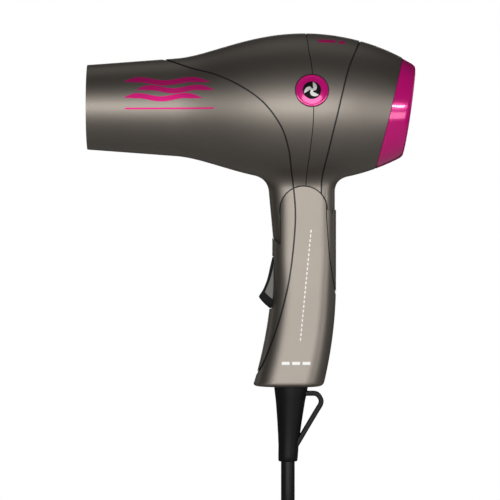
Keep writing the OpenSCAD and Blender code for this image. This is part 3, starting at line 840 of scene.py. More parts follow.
@dataclass
class Badge:
    """The round badge on each side of the barrel, with a turning fan wheel as its emblem."""

    form: BarrelForm
    x: float = 4.2
    tilt: float = 11.0
    radius: float = 9.0
    recess_gap: float = 0.45
    blades: int = 3
    blade_r: tuple[float, float] = (1.0, 4.5)

    def point(self, side: int, u: float, v: float, lift: float) -> Vector:
        """A point on or above the barrel at the badge.

        Args:
            side: -1 for the near side, 1 for the far side.
            u: Distance along the barrel from the badge's centre.
            v: Distance round the barrel.
            lift: Height above the barrel's surface.

        Returns:
            The point.
        """
        lean = math.radians(self.tilt)
        out = Vector((0, side * math.cos(lean), math.sin(lean)))
        up = Vector((0, -side * math.sin(lean), math.cos(lean)))
        height = math.sqrt(float(self.form.radius_at(self.x + u)) ** 2 - v * v) + lift
        return Vector((self.x + u, 0, self.form.axis_z)) + out * height + up * v

    def stacked(self, side: int, sides: int, levels: Line) -> bmesh.types.BMesh:
        """A round piece on the badge's axis that follows the barrel's curve.

        Args:
            side: -1 for the near side, 1 for the far side.
            sides: How many sides it has.
            levels: Its rim as radius and height over the barrel, from its back round to its front.

        Returns:
            A closed solid.
        """
        def place(station: float, angle: float) -> Vector:
            """A point of the piece at a level and an angle."""
            r, lift = levels[int(station)]
            return self.point(side, r * math.cos(angle), r * math.sin(angle), lift)

        return loft(place, range(len(levels)), sides)

    def socket(self, side: int) -> bmesh.types.BMesh:
        """The round hole through the casing that takes the badge."""
        lean = math.radians(self.tilt)
        out = Vector((0, side * math.cos(lean), math.sin(lean)))
        centre = Vector((self.x, 0, self.form.axis_z))
        return rod(centre + out * 34, centre + out * 46, self.radius + self.recess_gap, 72)

    def disc(self, side: int) -> bmesh.types.BMesh:
        """The badge's domed disc with a raised rim."""
        return self.stacked(side, 72, [
            (0.03, -1.7), (8.9, -1.7), (9.0, -0.5), (8.85, -0.2), (8.5, -0.08), (8.1, -0.12), (7.8, -0.45),
            (7.4, -0.5), (6.0, -0.36), (4.0, -0.24), (2.0, -0.18), (0.03, -0.16),
        ])

    def blade(self, side: int, angle: float) -> bmesh.types.BMesh:
        """One curved blade of the emblem, a thin raised leaf."""
        steps, half = 12, 1.5
        bm = bmesh.new()
        bmesh.ops.create_grid(bm, x_segments=steps, y_segments=3, size=1.0)
        for v in bm.verts:
            along, across = (v.co.x + 1) / 2, v.co.y
            r = self.blade_r[0] + (self.blade_r[1] - self.blade_r[0]) * along
            width = half * math.sin(math.pi * (0.12 + 0.8 * along)) / r
            a = angle + 1.1 * along + across * width
            v.co = self.point(side, r * math.cos(a), r * math.sin(a), 0.1 - 0.005 * r * r)
        bmesh.ops.recalc_face_normals(bm, faces=bm.faces)
        bmesh.ops.solidify(bm, geom=bm.faces[:], thickness=0.14)
        return bm

    def field(self, side: int) -> bmesh.types.BMesh:
        """The thin black disc behind the emblem."""
        levels = [(0.02, -0.7), (4.9, -0.7), (5.0, -0.2), (4.8, -0.12), (3.0, -0.02), (0.02, 0.0)]
        return self.stacked(side, 48, levels)

    def hub(self, side: int) -> bmesh.types.BMesh:
        """The small dot at the emblem's centre."""
        return self.stacked(side, 24, [(0.02, -0.1), (1.0, -0.1), (1.0, 0.1), (0.8, 0.17), (0.02, 0.19)])

    def build(self) -> None:
        """Makes both badges and their emblems."""
        for side, name in ((-1, "badge_left"), (1, "badge_right")):
            publish(as_object(self.disc(side), f"{name}_disc"), Body.BARREL, MAGENTA, [name])
            blades = [self.blade(side, k * TURN / self.blades + 0.3) for k in range(self.blades)]
            publish(joined([*blades, self.hub(side)], f"{name}_emblem"), Body.BARREL, WHITE_PRINT, variant="_print")
            publish(as_object(self.field(side), f"{name}_field"), Body.BARREL, PIANO_BLACK, variant="_print")


@dataclass
class InletRing:
    """The metallic ring round the inlet and its grille."""

    form: BarrelForm
    front_x: float = 48.56
    front_slope: float = 0.2417
    rear_x: float = 59.7
    rear_slope: float = 0.1406
    face_at: tuple[float, float] = (59.3, 114.6)
    face_tilt: float = 8.0
    collar_at: tuple[float, float] = (47.45, 112.9)
    collar_tilt: float = 13.6
    wall: float = 2.2
    grille_rings: tuple[float, ...] = (21.4, 18.6, 15.9, 13.2, 10.5, 7.8, 5.1)
    spokes: int = 12

    def on_barrel(self, x0: float, slope: float, inset: float, angle: float) -> Vector:
        """Where a leaning plane across the barrel meets its surface.

        Args:
            x0: The plane's place on the axis.
            slope: How far it leans back for each millimetre up.
            inset: Depth below the surface.
            angle: Direction round the axis, from the top.

        Returns:
            The point.
        """
        x = x0
        for _ in range(5):
            r = float(self.form.radius_at(x)) - inset
            x = x0 + slope * r * math.cos(angle)
        return Vector((x, -r * math.sin(angle), self.form.axis_z + r * math.cos(angle)))

    def facing(self) -> Matrix:
        """Puts +Z on the ring's rear face, pointing out."""
        lean = Matrix.Rotation(math.radians(90 + self.face_tilt), 4, "Y")
        return Matrix.Translation((self.face_at[0], 0, self.face_at[1])) @ lean

    def ring(self) -> bmesh.types.BMesh:
        """The ring: outside on the barrel's curve, a rounded rear edge, and an inner wall."""
        face = self.facing()
        blend = [0.0, 0.02, 0.25, 0.5, 0.75, 0.9, 0.97, 1.0]
        insets = [0.35, 0.0, 0.0, 0.0, 0.0, 0.03, 0.5, 1.5]
        outer = list(zip(blend, insets))
        lips = [(22.9, -0.02), (22.2, -0.1), (21.7, -0.5), (21.5, -1.2), (21.5, -2.9)]
        back = [(0.9, self.wall + 0.6), (0.4, self.wall), (0.0, self.wall)]

        def place(station: float, angle: float) -> Vector:
            """A point of the ring at a station and an angle."""
            k = int(station)
            if k < len(outer) or k >= len(outer) + len(lips):
                t, inset = outer[k] if k < len(outer) else back[k - len(outer) - len(lips)]
                x0 = self.front_x + (self.rear_x - self.front_x) * t
                slope = self.front_slope + (self.rear_slope - self.front_slope) * t
                return self.on_barrel(x0, slope, inset, angle)
            r, height = lips[k - len(outer)]
            local = Vector((-r * math.cos(angle), -r * math.sin(angle), height))
            return face @ local

        bm = loft(place, range(len(outer) + len(lips) + len(back)), 144)
        caps = [f for f in bm.faces if len(f.verts) > 100]
        rims = [e for f in caps for e in f.edges]
        bmesh.ops.delete(bm, geom=caps, context="FACES_ONLY")
        bmesh.ops.bridge_loops(bm, edges=[e for e in rims if e.is_valid])
        bmesh.ops.recalc_face_normals(bm, faces=bm.faces)
        return bm

    def collar(self) -> bmesh.types.BMesh:
        """The plain collar in front of the ring that plugs into the casing."""
        lean = Matrix.Rotation(math.radians(90 + self.collar_tilt), 4, "Y")
        place = Matrix.Translation((self.collar_at[0], 0, self.collar_at[1])) @ lean
        return revolve([(28.5, -4), (28.5, 2.2), (27.1, 2.2), (27.1, -4)], place)

    def grille(self) -> list[bmesh.types.BMesh]:
        """Rounded rings and spokes, slightly domed."""
        face = self.facing()
        shapes = []
        for r in self.grille_rings:
            lift = -2.2 + 0.9 * (1 - (r / 22) ** 2)
            w, h = 0.55, 0.75
            section = [(r - w, lift - h), (r - w, lift), (r - w / 2, lift + 0.3), (r - w * 1.5, lift + 0.3),
                       (r - 2 * w, lift), (r - 2 * w, lift - h)]
            shapes.append(revolve(section[::-1], face, 72))
        for k in range(self.spokes):
            bm = bmesh.new()
            bmesh.ops.create_cube(bm, size=1.0)
            bmesh.ops.subdivide_edges(bm, edges=[e for e in bm.edges if abs(e.verts[0].co.x - e.verts[1].co.x) > 0.5],
                                      cuts=6, use_grid_fill=True)
            for v in bm.verts:
                r = 3.4 + (v.co.x + 0.5) * 17.6
                lift = -2.3 + 0.9 * (1 - (r / 22) ** 2)
                v.co = Vector((r, v.co.y * 0.8, lift + v.co.z * 1.1 - 0.1))
            bm.transform(face @ Matrix.Rotation(k * TURN / self.spokes, 4, "Z"))
            shapes.append(bm)
        hub = revolve([(0.02, -3.2), (4.2, -3.2), (4.2, -1.4), (3.8, -1.05), (2.0, -0.9), (0.02, -0.85)], face, 48)
        shapes.append(hub)
        return shapes

    def build(self) -> None:
        """Makes the ring and its grille."""
        ring = joined([self.ring(), self.collar()], "inlet_ring")
        publish(ring, Body.COVER, SpunRing(MAGENTA), ["rear_ring"], sharp=50)
        publish(joined(self.grille(), "inlet_grille_domed"), Body.COVER, GRILLE_GREY, ["inlet_grille"],
                variant="_grille")


@dataclass
class Handle:
    """The folding handle: back shell, front cover with its rocker window, and the rear spine."""

    seams: Seams
    half_w: float = 15.1
    bottom_z: float = -38.9
    top_z: float = 76.0
    wall: float = 1.8
    centre_x: float = 3.0
    skin_depth: float = 0.5
    cheek_in: float = 12.9
    slot_half_w: float = 7.6
    slot_z: tuple[float, float] = (4.7, 34.1)

    def front_x(self, z: float) -> float:
        """Front edge of the handle at a height."""
        return -17.4 - max(0.0, 32.0 - z) ** 2 / 460

    def rear_x(self, z: float) -> float:
        """Rear edge of the handle at a height."""
        return 18.4 - max(0.0, 20.0 - z) ** 2 / 480

    def middle_x(self, z: float) -> float:
        """Where the handle is widest at a height."""
        return self.centre_x - max(0.0, 26.0 - z) ** 2 / 470

    def half(self, z: float, rear: bool) -> tuple[float, float, float]:
        """One half of the section at a height, on either side of its flat middle.

        Args:
            z: Height.
            rear: Whether it is the half behind the middle.

        Returns:
            Where the half starts, how far it reaches, and how square it is.
        """
        full = min(max((z - 12.0) / 24.0, 0.0), 1.0)
        full = full * full * (3 - 2 * full)
        if rear:
            start = self.middle_x(z) + 4.5
            return start, self.rear_x(z) - start, 2.3 + 0.4 * full
        start = self.middle_x(z) - 7.6
        return start, start - self.front_x(z), 2.3 + 0.5 * full

    def point(self, z: float, angle: float, inset: float) -> Vector:
        """A point of the handle's section.

        Args:
            z: Height.
            angle: Direction round the section.
            inset: Depth below the surface.

        Returns:
            The point.
        """
        c, s = math.cos(angle), math.sin(angle)
        start, reach, power = self.half(z, c > 0)
        x = start + (reach - inset) * math.copysign(abs(c) ** (2 / power), c)
        y = (self.half_w - inset) * math.copysign(abs(s) ** (2 / power), s)
        return Vector((x, y, z))

    def side_y(self, x: float, z: float) -> float:
        """Half width of the handle at a place in the side view."""
        for rear in (False, True):
            start, reach, power = self.half(z, rear)
            if (x > start) == rear:
                return self.half_w * max(0.0, 1 - abs((x - start) / reach) ** power) ** (1 / power)
        return self.half_w

    def surface(self, depth: float) -> bmesh.types.BMesh:
        """A closed surface at a depth below the handle's outside, with its rounded lower rim.

        Args:
            depth: How deep it lies.

        Returns:
            The surface.
        """
        rim = [(0.0, 2.6), (0.12, 1.7), (0.45, 0.9), (1.0, 0.3), (1.8, 0.0)]
        levels = [(self.bottom_z + depth + dz, inset + depth) for dz, inset in rim]
        levels += [(z, depth) for z in np.linspace(self.bottom_z + depth + 3, self.top_z + 2 * depth, 60)]

        def place(station: float, angle: float) -> Vector:
            """A point of the outside at a level and an angle."""
            z, inset = levels[int(station)]
            p = self.point(z, angle, inset)
            if station < len(rim):
                p.z += 0.35 * (((p.x + 7) / 19) ** 2)
            return p

        return loft(place, range(len(levels)), 128)

    def layer(self, high: float, low: float, lap: float) -> bpy.types.Object:
        """One layer of the handle's wall, with room for the knuckle and the neck to turn.

        Args:
            high: Depth of the layer's outside.
            low: Depth of its inside.
            lap: How far it stays back from the joint with the neck.

        Returns:
            The layer.
        """
        whole = as_object(self.surface(high), "handle")
        carve(whole, self.surface(low), Cut.TAKE_AWAY)
        carve(whole, prism(self.outline(lap), -30, 30), Cut.KEEP_INSIDE)
        hinge = self.seams.hinge
        swept = [(3, 90), *arc(hinge, self.seams.sweep_r + self.seams.sweep_gap + lap, 90, 277, 60), (3, 40)]
        above = [(-40, hinge[1]), (40, hinge[1]), (40, 90), (-40, 90)]
        for cutter in (
            prism(swept, -self.cheek_in, self.cheek_in),
            prism(above, -self.cheek_in, self.cheek_in),
            rod(Vector((0, -11.8, hinge[1])), Vector((0, 11.8, hinge[1])), 16.2, 96),
        ):
            carve(whole, cutter, Cut.TAKE_AWAY)
        low_z, high_z = self.slot_z
        opening = [(-32, low_z), (-12, low_z), (-12, high_z), (-32, high_z)]
        window = prism(opening, -self.slot_half_w, self.slot_half_w)
        soften(window, 0.6)
        return carve(whole, window, Cut.TAKE_AWAY)

    def outline(self, lap: float) -> list[tuple[float, float]]:
        """Side view of what belongs to the handle: up to the fold, with its round cheeks.

        Args:
            lap: How far it stays back from the joint with the neck.

        Returns:
            The outline.
        """
        room = self.seams.sweep_r + self.seams.sweep_gap + lap
        x = -self.seams.cheek_r
        start = 180 + math.degrees(math.acos(-x / room))
        low, level = self.bottom_z - 5, self.seams.hinge[1]
        return [
            (40, low), (40, level - lap), (-x, level - lap), (-x, level), *arc(self.seams.hinge, -x, 0, 180),
            *arc(self.seams.hinge, room, start, 205, 12), (-40, 50), (-40, low),
        ]

    def build(self) -> None:
        """Makes the handle's three casing parts."""
        whole = self.layer(0.0, self.skin_depth, 0.0)
        lip = self.layer(self.skin_depth, self.wall, self.seams.lap + 0.2)
        lip.name = "handle_lip"
        publish(lip, Body.HANDLE, DARK_PLASTIC)
        front, spine = self.seams.front(), self.seams.spine()
        parts = {
            "handle_front_cover_shell": ([self.seams.ahead_of(front)], "handle_front_cover"),
            "handle_back_shell_side": (
                [self.seams.behind(front), self.seams.ahead_of(spine, 0.7)], "handle_back_shell"),
            "rear_spine_strip": ([self.seams.behind(spine, 0.3)], "rear_spine"),
        }
        for name, (outlines, node) in parts.items():
            part = twin(whole, name)
            for outline in outlines:
                carve(part, prism(outline, -40, 40), Cut.KEEP_INSIDE)
            publish(part, Body.HANDLE, SATIN_GREY, [node])
        bpy.data.objects.remove(whole)


@dataclass
class Rocker:
    """One of the two rockers: a glossy cap over a satin core."""

    body: Body
    y0: float
    width: float = 6.95

    def build(self) -> None:
        """Makes the cap, a bent frame with a hollow front, and the core inside it."""
        front = smooth_line([(-17.2, 33.9), (-18.5, 28.5), (-20.1, 21.5), (-22.3, 15.8), (-24.3, 12.6), (-24.8, 11.6),
                             (-24.2, 10.4), (-21.6, 7.5), (-18.6, 5.0)], 5)
        inside = smooth_line([(-16.6, 31.4), (-17.3, 26.0), (-18.9, 20.5), (-20.9, 15.6), (-21.4, 14.3),
                              (-20.9, 13.4), (-19.0, 11.6), (-16.4, 9.6)], 5)
        name = "speed_rocker" if self.body is Body.SPEED else "heat_rocker"
        cap = prism([*front, (-16.0, 6.2), *reversed(inside), (-15.8, 33.0)], self.y0, self.y0 + self.width)
        soften(cap, 0.3, 3, 50)
        publish(as_object(cap, f"{name}_cap"), self.body, PIANO_BLACK, [name], sharp=45)
        core = prism([*inside, (-11.3, 17.3), (-11.3, 21.5)], self.y0 + 0.5, self.y0 + self.width - 0.5)
        publish(as_object(core, f"{name}_inner"), self.body, ROCKER_GREY, [f"{name}_core"], variant="_rocker")


@dataclass
class StrainRelief:
    """The rubber sleeve under the handle, with its hanging loop."""

    top: tuple[float, float] = (-6.8, -38.7)
    end: tuple[float, float] = (-8.6, -80.7)
    strap_half: float = 1.38
    strap_half_w: float = 3.0

    def sleeve(self) -> bmesh.types.BMesh:
        """The tapered sleeve with a stepped end."""
        sizes = [(0.0, 7.0), (0.002, 9.4), (0.03, 9.35), (0.2, 8.2), (0.35, 7.45), (0.5, 6.75), (0.65, 6.15),
                 (0.8, 5.65), (0.86, 5.6), (0.93, 5.5), (0.985, 5.4), (1.0, 4.9), (1.001, 3.86), (0.98, 3.84)]

        def place(station: float, angle: float) -> Vector:
            """A point of the sleeve at a station and an angle."""
            t, r = sizes[int(station)]
            x = self.top[0] + (self.end[0] - self.top[0]) * t
            z = self.top[1] + (self.end[1] - self.top[1]) * t
            return Vector((x + r * math.cos(angle), r * math.sin(angle), z))

        return loft(place, range(len(sizes)), 64)

    def loop(self) -> bmesh.types.BMesh:
        """The hanging loop, a flat strap bent round and back into the sleeve."""
        middle = smooth_line([(-1.5, -42.8), (4.0, -42.6), (7.6, -43.0), (9.7, -45.6), (9.8, -48.4), (7.2, -52.9),
                              (2.6, -60.6), (-2.2, -68.8), (-5.0, -73.5)], 6)
        outer, inner = beside(middle, self.strap_half), beside(middle, -self.strap_half)
        bm = prism([*outer, *reversed(inner)], -self.strap_half_w, self.strap_half_w)
        soften(bm, 0.7, 3, 50)
        return bm

    def build(self) -> bpy.types.Object:
        """Makes the sleeve and loop as one rubber moulding."""
        made = joined([self.sleeve(), self.loop()], "strain_relief_sleeve")
        return publish(made, Body.HANDLE, RUBBER, ["strain_relief"], sharp=50)


@dataclass
class Lead:
    """The mains lead: it hangs from the handle, lies in a tied coil, and ends in a two-pin plug."""

    diameter: float = 7.7
    floor_z: float = -158.0
    coil_y: float = 33.0
    coil_r: float = 44.0
    pitch: float = 7.95
    turns: float = 5.75
    down_turns: float = 2.58
    shift_turns: float = 0.26
    plug_x: float = -52.0
    pin_half_gap: float = 9.3
    tie_half_w: float = 4.6
    tie_wall: tuple[float, float] = (0.35, 1.45)

    def __post_init__(self) -> None:
        """Works out the coil's centre and the plug's place."""
        self.radius = self.diameter / 2
        self.drop = [(-8.6, 0, -80.8), (-8.6, 0, -92), (-8.6, 0, -101), (-8.6, 2, -112), (-8.6, 8, -122),
                     (-8.6, 17, -129.5), (-8.6, 26, -132.8)]
        self.tail = [(20, -14.8, -133.4), (8, -14.8, -138.5), (-4, -14.8, -145.3), (-16, -14.8, -151.2),
                     (-26, -14.8, -153.9), (-36, -14.8, -153.6), (-44, -14.8, -151.8), (-54, -14.8, -151.1)]
        self.coil_x = self.drop[0][0] + self.coil_r - self.radius
        self.plug_y = self.coil_y - self.coil_r - self.radius
        self.plug_z = self.floor_z + 6.85

    def coil(self) -> list[tuple[float, float, float]]:
        """The coil's centreline: down on the inside, across at the bottom, and up on the outside."""
        per_turn = 40
        low = self.floor_z + self.radius
        points = []
        for k in range(int(self.turns * per_turn) + 1):
            t = k / per_turn
            over = min(max((t - self.down_turns) / self.shift_turns, 0), 1)
            r = self.coil_r + self.radius * (1 - math.cos(math.pi * over)) - self.radius
            rise = max(self.down_turns - t, 0) + max(t - self.down_turns - self.shift_turns, 0)
            angle = math.pi - t * TURN
            x, y = self.coil_x + r * math.cos(angle), self.coil_y + r * math.sin(angle)
            points.append((x, y, low + rise * self.pitch))
        return points

    def route(self) -> list[Vector]:
        """The whole centreline, in metres."""
        ends = [*self.drop, *self.coil(), *self.tail]
        return [Vector(p) * MM for p in ends]

    def cord(self, pieces: Sequence[bpy.types.Object]) -> None:
        """Args:
            pieces: The separate pieces on it; not used.
        """
        route = self.route()
        curve = bpy.data.curves.new("mains_lead", "CURVE")
        curve.dimensions = "3D"
        curve.bevel_depth = self.radius * MM
        curve.bevel_resolution = 6
        curve.resolution_u = 2
        curve.use_fill_caps = True
        spline = curve.splines.new("NURBS")
        spline.points.add(len(route) - 1)
        for point, place in zip(spline.points, route):
            point.co = (*place, 1)
        spline.use_endpoint_u = True
        spline.order_u = 3
        curve.materials.append(LEAD_BLACK.material())
        obj = bpy.data.objects.new("mains_lead", curve)
        bpy.context.scene.collection.objects.link(obj)
        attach(obj, Body.HANDLE.value)
        LEAD_BLACK.slot
        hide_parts("cord_drop", "cord_coil", "cord_tail")

    def wrapped(self, corners: Line, radius: float) -> list[tuple[float, float]]:
        """The outline of a band pulled tight round equal circles.

        Args:
            corners: Their centres in X and Z, in order, turning left all the way round.
            radius: Their radius.

        Returns:
            The outline.
        """
        made = []
        for k, (x, z) in enumerate(corners):
            before, after = corners[k - 1], corners[(k + 1) % len(corners)]
            first = math.degrees(math.atan2(z - before[1], x - before[0])) - 90
            last = math.degrees(math.atan2(after[1] - z, after[0] - x)) - 90
            made += arc((x, z), radius, first, first + (last - first) % 360, 8)
        return made

    def tie(self) -> bpy.types.Object:
        """The strap that holds the coil."""
        near, far = self.coil_x + self.coil_r - self.radius, self.coil_x + self.coil_r + self.radius
        low = self.floor_z + self.radius
        first_up = self.down_turns + self.shift_turns
        corners = [(near, low + (self.down_turns - 2.5) * self.pitch), (far, low + (3.5 - first_up) * self.pitch),
                   (far, low + (5.5 - first_up) * self.pitch), (near, low + (self.down_turns - 0.5) * self.pitch)]
        inner, outer = (self.wrapped(corners, self.radius + wall) for wall in self.tie_wall)
        outside = [(x, max(z, self.floor_z + 0.05)) for x, z in outer]
        strap = prism(outside, self.coil_y - self.tie_half_w, self.coil_y + self.tie_half_w)
        soften(strap, 0.4, 3, 60)
        obj = as_object(strap, "cord_tie_strap")
        inside = [(x, max(z, self.floor_z + 0.45)) for x, z in inner]
        carve(obj, prism(inside, self.coil_y - 8, self.coil_y + 8), Cut.TAKE_AWAY)
        return publish(obj, Body.HANDLE, RUBBER, ["cord_tie"])

    def plug(self) -> list[bpy.types.Object]:
        """The flat two-pin plug and its pins."""
        sections = [(0.0, 3.9, 3.9), (0.5, 5.0, 5.0), (8.0, 6.4, 5.4), (14.0, 9.5, 6.0), (20.0, 14.5, 6.5),
                    (25.0, 16.9, 6.8), (34.6, 17.5, 6.8), (35.6, 17.2, 6.5), (36.0, 16.4, 5.8)]

        def place(station: float, angle: float) -> Vector:
            """A point of the plug's body at a section and an angle."""
            along, half_y, half_z = sections[int(station)]
            power = 2 / (2.2 + min(along, 25) / 9)
            c, s = math.cos(angle), math.sin(angle)
            y = half_y * math.copysign(abs(c) ** power, c)
            z = half_z * math.copysign(abs(s) ** power, s)
            return Vector((self.plug_x - along, self.plug_y + y, self.plug_z + z))

        body = publish(as_object(loft(place, range(len(sections)), 72), "plug_moulding"), Body.HANDLE, LEAD_BLACK,
                       ["plug_body"], sharp=60)
        pins, sleeves = [], []
        turned = Matrix.Rotation(math.radians(-90), 4, "Y")
        for side in SIDES:
            root = (self.plug_x - 35.5, self.plug_y + side * self.pin_half_gap, self.plug_z)
            at = Matrix.Translation(root) @ turned
            pins.append(revolve([(0.01, 8), (1.95, 8), (2.0, 17.6), (1.6, 19.0), (0.8, 19.5), (0.01, 19.5)], at, 32))
            sleeves.append(revolve([(0.01, 0), (1.95, 0), (1.95, 9.6), (1.7, 10.0), (0.01, 10.0)], at, 32))
        tips = publish(joined(pins, "plug_pin_tips"), Body.HANDLE, NICKEL, ["plug_pins"])
        guards = publish(joined(sleeves, "plug_pin_sleeves"), Body.HANDLE, LEAD_BLACK)
        return [body, tips, guards]

    def build(self) -> None:
        """Makes the plug, the tie and the cord."""
        self.cord([*self.plug(), self.tie()])


@dataclass
class Prints:
    """Plain printed marks in place of lettering: pink air streams and white dashes, on both sides."""

    form: BarrelForm
    handle: Handle
    lift: float = 0.05

    def patch(self, centre: Callable[[float], tuple[float, float]], half: Callable[[float], float],
              side_y: Callable[[float, float], float], side: int, steps: int) -> bmesh.types.BMesh:
        """A thin strip that lies on a curved side.

        Args:
            centre: Middle of the strip in the side view, from its start at 0 to its end at 1.
            half: Half its width at such a place.
            side_y: Half width of the object at a place in the side view.
            side: Which side it is on.
            steps: How many steps it has along its length.

        Returns:
            The strip.
        """
        bm = bmesh.new()
        bmesh.ops.create_grid(bm, x_segments=steps, y_segments=2, size=1.0)
        for v in bm.verts:
            t = (v.co.x + 1) / 2
            a, b = Vector(centre(t)), Vector(centre(t + 0.01))
            along = (b - a).normalized()
            spot = a + Vector((-along.y, along.x)) * half(t) * v.co.y
            v.co = (spot.x, side * (side_y(spot.x, spot.y) + self.lift), spot.y)
        bmesh.ops.recalc_face_normals(bm, faces=bm.faces)
        if bm.faces[0].normal.y * side < 0:
            bmesh.ops.reverse_faces(bm, faces=bm.faces)
        bmesh.ops.solidify(bm, geom=bm.faces[:], thickness=0.04)
        return bm

    def streams(self, side: int) -> list[bmesh.types.BMesh]:
        """Three waving air streams on the nozzle, and a fine line under them."""
        made = []
        for k, (x0, x1) in enumerate([(-99.0, -52.0), (-92.0, -49.6), (-99.0, -56.0)]):
            z = 131.0 - 4.5 * k
            made.append(self.patch(
                lambda t, x0=x0, x1=x1, z=z: (x0 + (x1 - x0) * t, z + 0.9 * math.sin(t * 1.6 * TURN)),
                lambda t: 1.45 * min(1.0, 6 * t + 0.25, 6 * (1 - t) + 0.1),
                self.form.side_y, side, 48))
        made.append(self.patch(lambda t: (-99.0 + 49.4 * t, 115.8), lambda t: 0.45, self.form.side_y, side, 30))
        return made

    def top_marks(self, side: int) -> list[bmesh.types.BMesh]:
        """Two small pink bars high on the barrel behind the parting seam."""
        return [
            self.patch(lambda t: (8.0 + 9.5 * t, 153.6 - 0.3 * t), lambda t: 0.9, self.form.side_y, side, 8),
            self.patch(lambda t: (19.4 + 3.4 * t, 152.9 - 0.3 * t), lambda t: 0.9, self.form.side_y, side, 4),
        ]

    def dashes(self, side: int) -> list[bmesh.types.BMesh]:
        """A row of short white dashes up the handle, and three longer ones near its foot."""
        start, end, count = Vector((-1.8, -12.8)), Vector((4.3, 49.9)), 24
        side_y = self.handle.side_y
        made = []
        for k in range(count):
            a, b = start.lerp(end, k / count), start.lerp(end, (k + 0.6) / count)
            made.append(self.patch(lambda t, a=a, b=b: tuple(a.lerp(b, t)), lambda t: 0.33, side_y, side, 2))
        for k in range(3):
            x = -12.2 + 5.8 * k
            made.append(self.patch(lambda t, x=x: (x + 4.4 * t, -25.4), lambda t: 0.85, side_y, side, 8))
        return made

    def build(self) -> None:
        """Makes all the prints."""
        for side, word in ((-1, "near"), (1, "far")):
            pink = joined([*self.streams(side), *self.top_marks(side)], f"air_stream_print_{word}")
            publish(pink, Body.BARREL, PINK_PRINT, variant="_print")
            publish(joined(self.dashes(side), f"dash_print_{word}"), Body.HANDLE, WHITE_PRINT, variant="_print")


@dataclass
class CarriedOver:
    """The inner pieces whose shape is already right, which only need their finishes."""

    finishes: tuple[Finish, ...] = (
        SATIN_GREY, MAGENTA, PIANO_BLACK, BLACK_PLASTIC, DARK_PLASTIC, RUBBER, LEAD_BLACK, MICA, NICHROME, STEEL,
        FERRITE, BRONZE, COPPER, WHITE_PLASTIC, WIRE_SLEEVE, NICKEL,
    )

    def build(self) -> None:
        """Dresses every node of the model by its material slot."""
        made = {finish.slot: finish.material("_carried") for finish in self.finishes}
        made["steel_mesh"] = WovenSteel().material()
        for part in frame["record"]["subparts"]:
            node = frame["nodes"][part["node"]]
            node.data.materials.clear()
            node.data.materials.append(made[part["material_slot"]])
            LOG.info("%s: dressed as %s", part["node"], part["material_slot"])


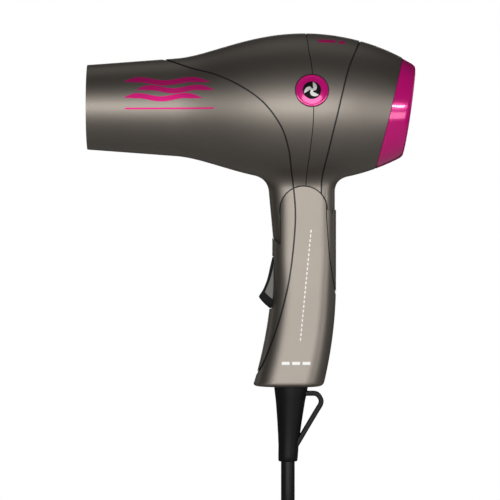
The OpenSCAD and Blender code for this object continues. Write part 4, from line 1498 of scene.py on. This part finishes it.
@dataclass
class Studio:
    """The camera, the soft lights, the pale floor and the white surround."""

    camera_at: tuple[float, float, float] = (-29.8, -1940.0, 37.6)
    lens: float = 249.4
    floor_z: float = -158.0

    def camera(self) -> None:
        """Looks straight along +Y at the object's side."""
        data = bpy.data.cameras.new("camera")
        data.lens = self.lens
        data.sensor_width = 36.0
        data.clip_end = 20
        cam = bpy.data.objects.new("camera", data)
        cam.location = Vector(self.camera_at) * MM
        cam.rotation_euler = (math.radians(90), 0, 0)
        bpy.context.scene.collection.objects.link(cam)
        bpy.context.scene.camera = cam

    def light(self, name: str, at: tuple[float, float, float], aim: tuple[float, float, float],
              size: tuple[float, float], power: float) -> None:
        """One soft box.

        Args:
            name: The light's name.
            at: Its place in millimetres.
            aim: The point that it faces.
            size: Its width and height in millimetres.
            power: Its power in watts.
        """
        data = bpy.data.lights.new(name, "AREA")
        data.shape = "RECTANGLE"
        data.size, data.size_y = size[0] * MM, size[1] * MM
        data.energy = power
        obj = bpy.data.objects.new(name, data)
        obj.location = Vector(at) * MM
        obj.rotation_euler = (Vector(aim) - Vector(at)).to_track_quat("-Z", "Y").to_euler()
        obj.visible_camera = False
        bpy.context.scene.collection.objects.link(obj)

    def surround(self) -> None:
        """White where the camera sees it, and dim where it only lights the object."""
        world = bpy.data.worlds.new("surround")
        bpy.context.scene.world = world
        world.use_nodes = True
        nodes, links = world.node_tree.nodes, world.node_tree.links
        nodes.clear()
        rays = nodes.new("ShaderNodeLightPath")
        seen, lit = nodes.new("ShaderNodeBackground"), nodes.new("ShaderNodeBackground")
        seen.inputs["Color"].default_value = (1, 1, 1, 1)
        lit.inputs["Color"].default_value = (0.95, 0.97, 1.0, 1)
        lit.inputs["Strength"].default_value = 0.014
        both = nodes.new("ShaderNodeMixShader")
        out = nodes.new("ShaderNodeOutputWorld")
        links.new(rays.outputs["Is Camera Ray"], both.inputs["Fac"])
        links.new(lit.outputs["Background"], both.inputs[1])
        links.new(seen.outputs["Background"], both.inputs[2])
        links.new(both.outputs["Shader"], out.inputs["Surface"])

    def floor(self) -> None:
        """A pale round floor under the coiled lead."""
        bm = bmesh.new()
        bmesh.ops.create_circle(bm, cap_ends=True, cap_tris=False, radius=560.0, segments=96)
        bm.transform(Matrix.Translation((0, 0, self.floor_z - 0.2)))
        obj = as_object(bm, "floor")
        obj.data.transform(Matrix.Scale(MM, 4))
        mat = PALE_FLOOR.material()
        nodes = mat.node_tree.nodes
        rays = nodes.new("ShaderNodeLightPath")
        shader = nodes["Principled BSDF"]
        shader.inputs["Emission Color"].default_value = (0.42, 0.42, 0.42, 1)
        mat.node_tree.links.new(rays.outputs["Is Camera Ray"], shader.inputs["Emission Strength"])
        obj.data.materials.append(mat)

    def build(self) -> None:
        """Sets up the lights, the surround and the floor."""
        bpy.context.scene.view_settings.view_transform = "Standard"
        aim = (-30, 0, 80)
        self.light("front_box", (-60, -2300, 125), aim, (2500, 900), 31)
        self.light("low_box", (-60, -1700, -900), aim, (1500, 300), 1.2)
        self.light("ring_box", (1900, -1350, 130), (55, 0, 115), (330, 120), 4.0)
        self.light("ring_low_box", (1700, -1250, -450), (55, 0, 115), (700, 420), 3.2)
        self.light("top_strip", (0, 600, 1700), aim, (1400, 900), 1.3)
        self.light("back_box", (0, 2300, 420), aim, (1500, 900), 8)
        self.light("nose_box", (-2000, 1300, 420), aim, (900, 900), 1.4)
        self.light("tail_box", (2000, 1300, 420), aim, (900, 900), 1.4)
        self.surround()
        self.floor()


def main() -> None:
    """Builds the studio's camera, the lead, the casings and everything else, in order."""
    logging.basicConfig(level=logging.INFO, format="%(message)s")
    studio = Studio()
    studio.camera()
    Lead().build()
    CarriedOver().build()
    form, seams = BarrelForm(), Seams()
    badge = Badge(form)
    Casings(form, seams).build(badge)
    badge.build()
    InletRing(form).build()
    handle = Handle(seams)
    handle.build()
    Rocker(Body.SPEED, -7.2).build()
    Rocker(Body.HEAT, 0.25).build()
    StrainRelief().build()
    Prints(form, handle).build()
    studio.build()


if __name__ == "__main__":
    main()
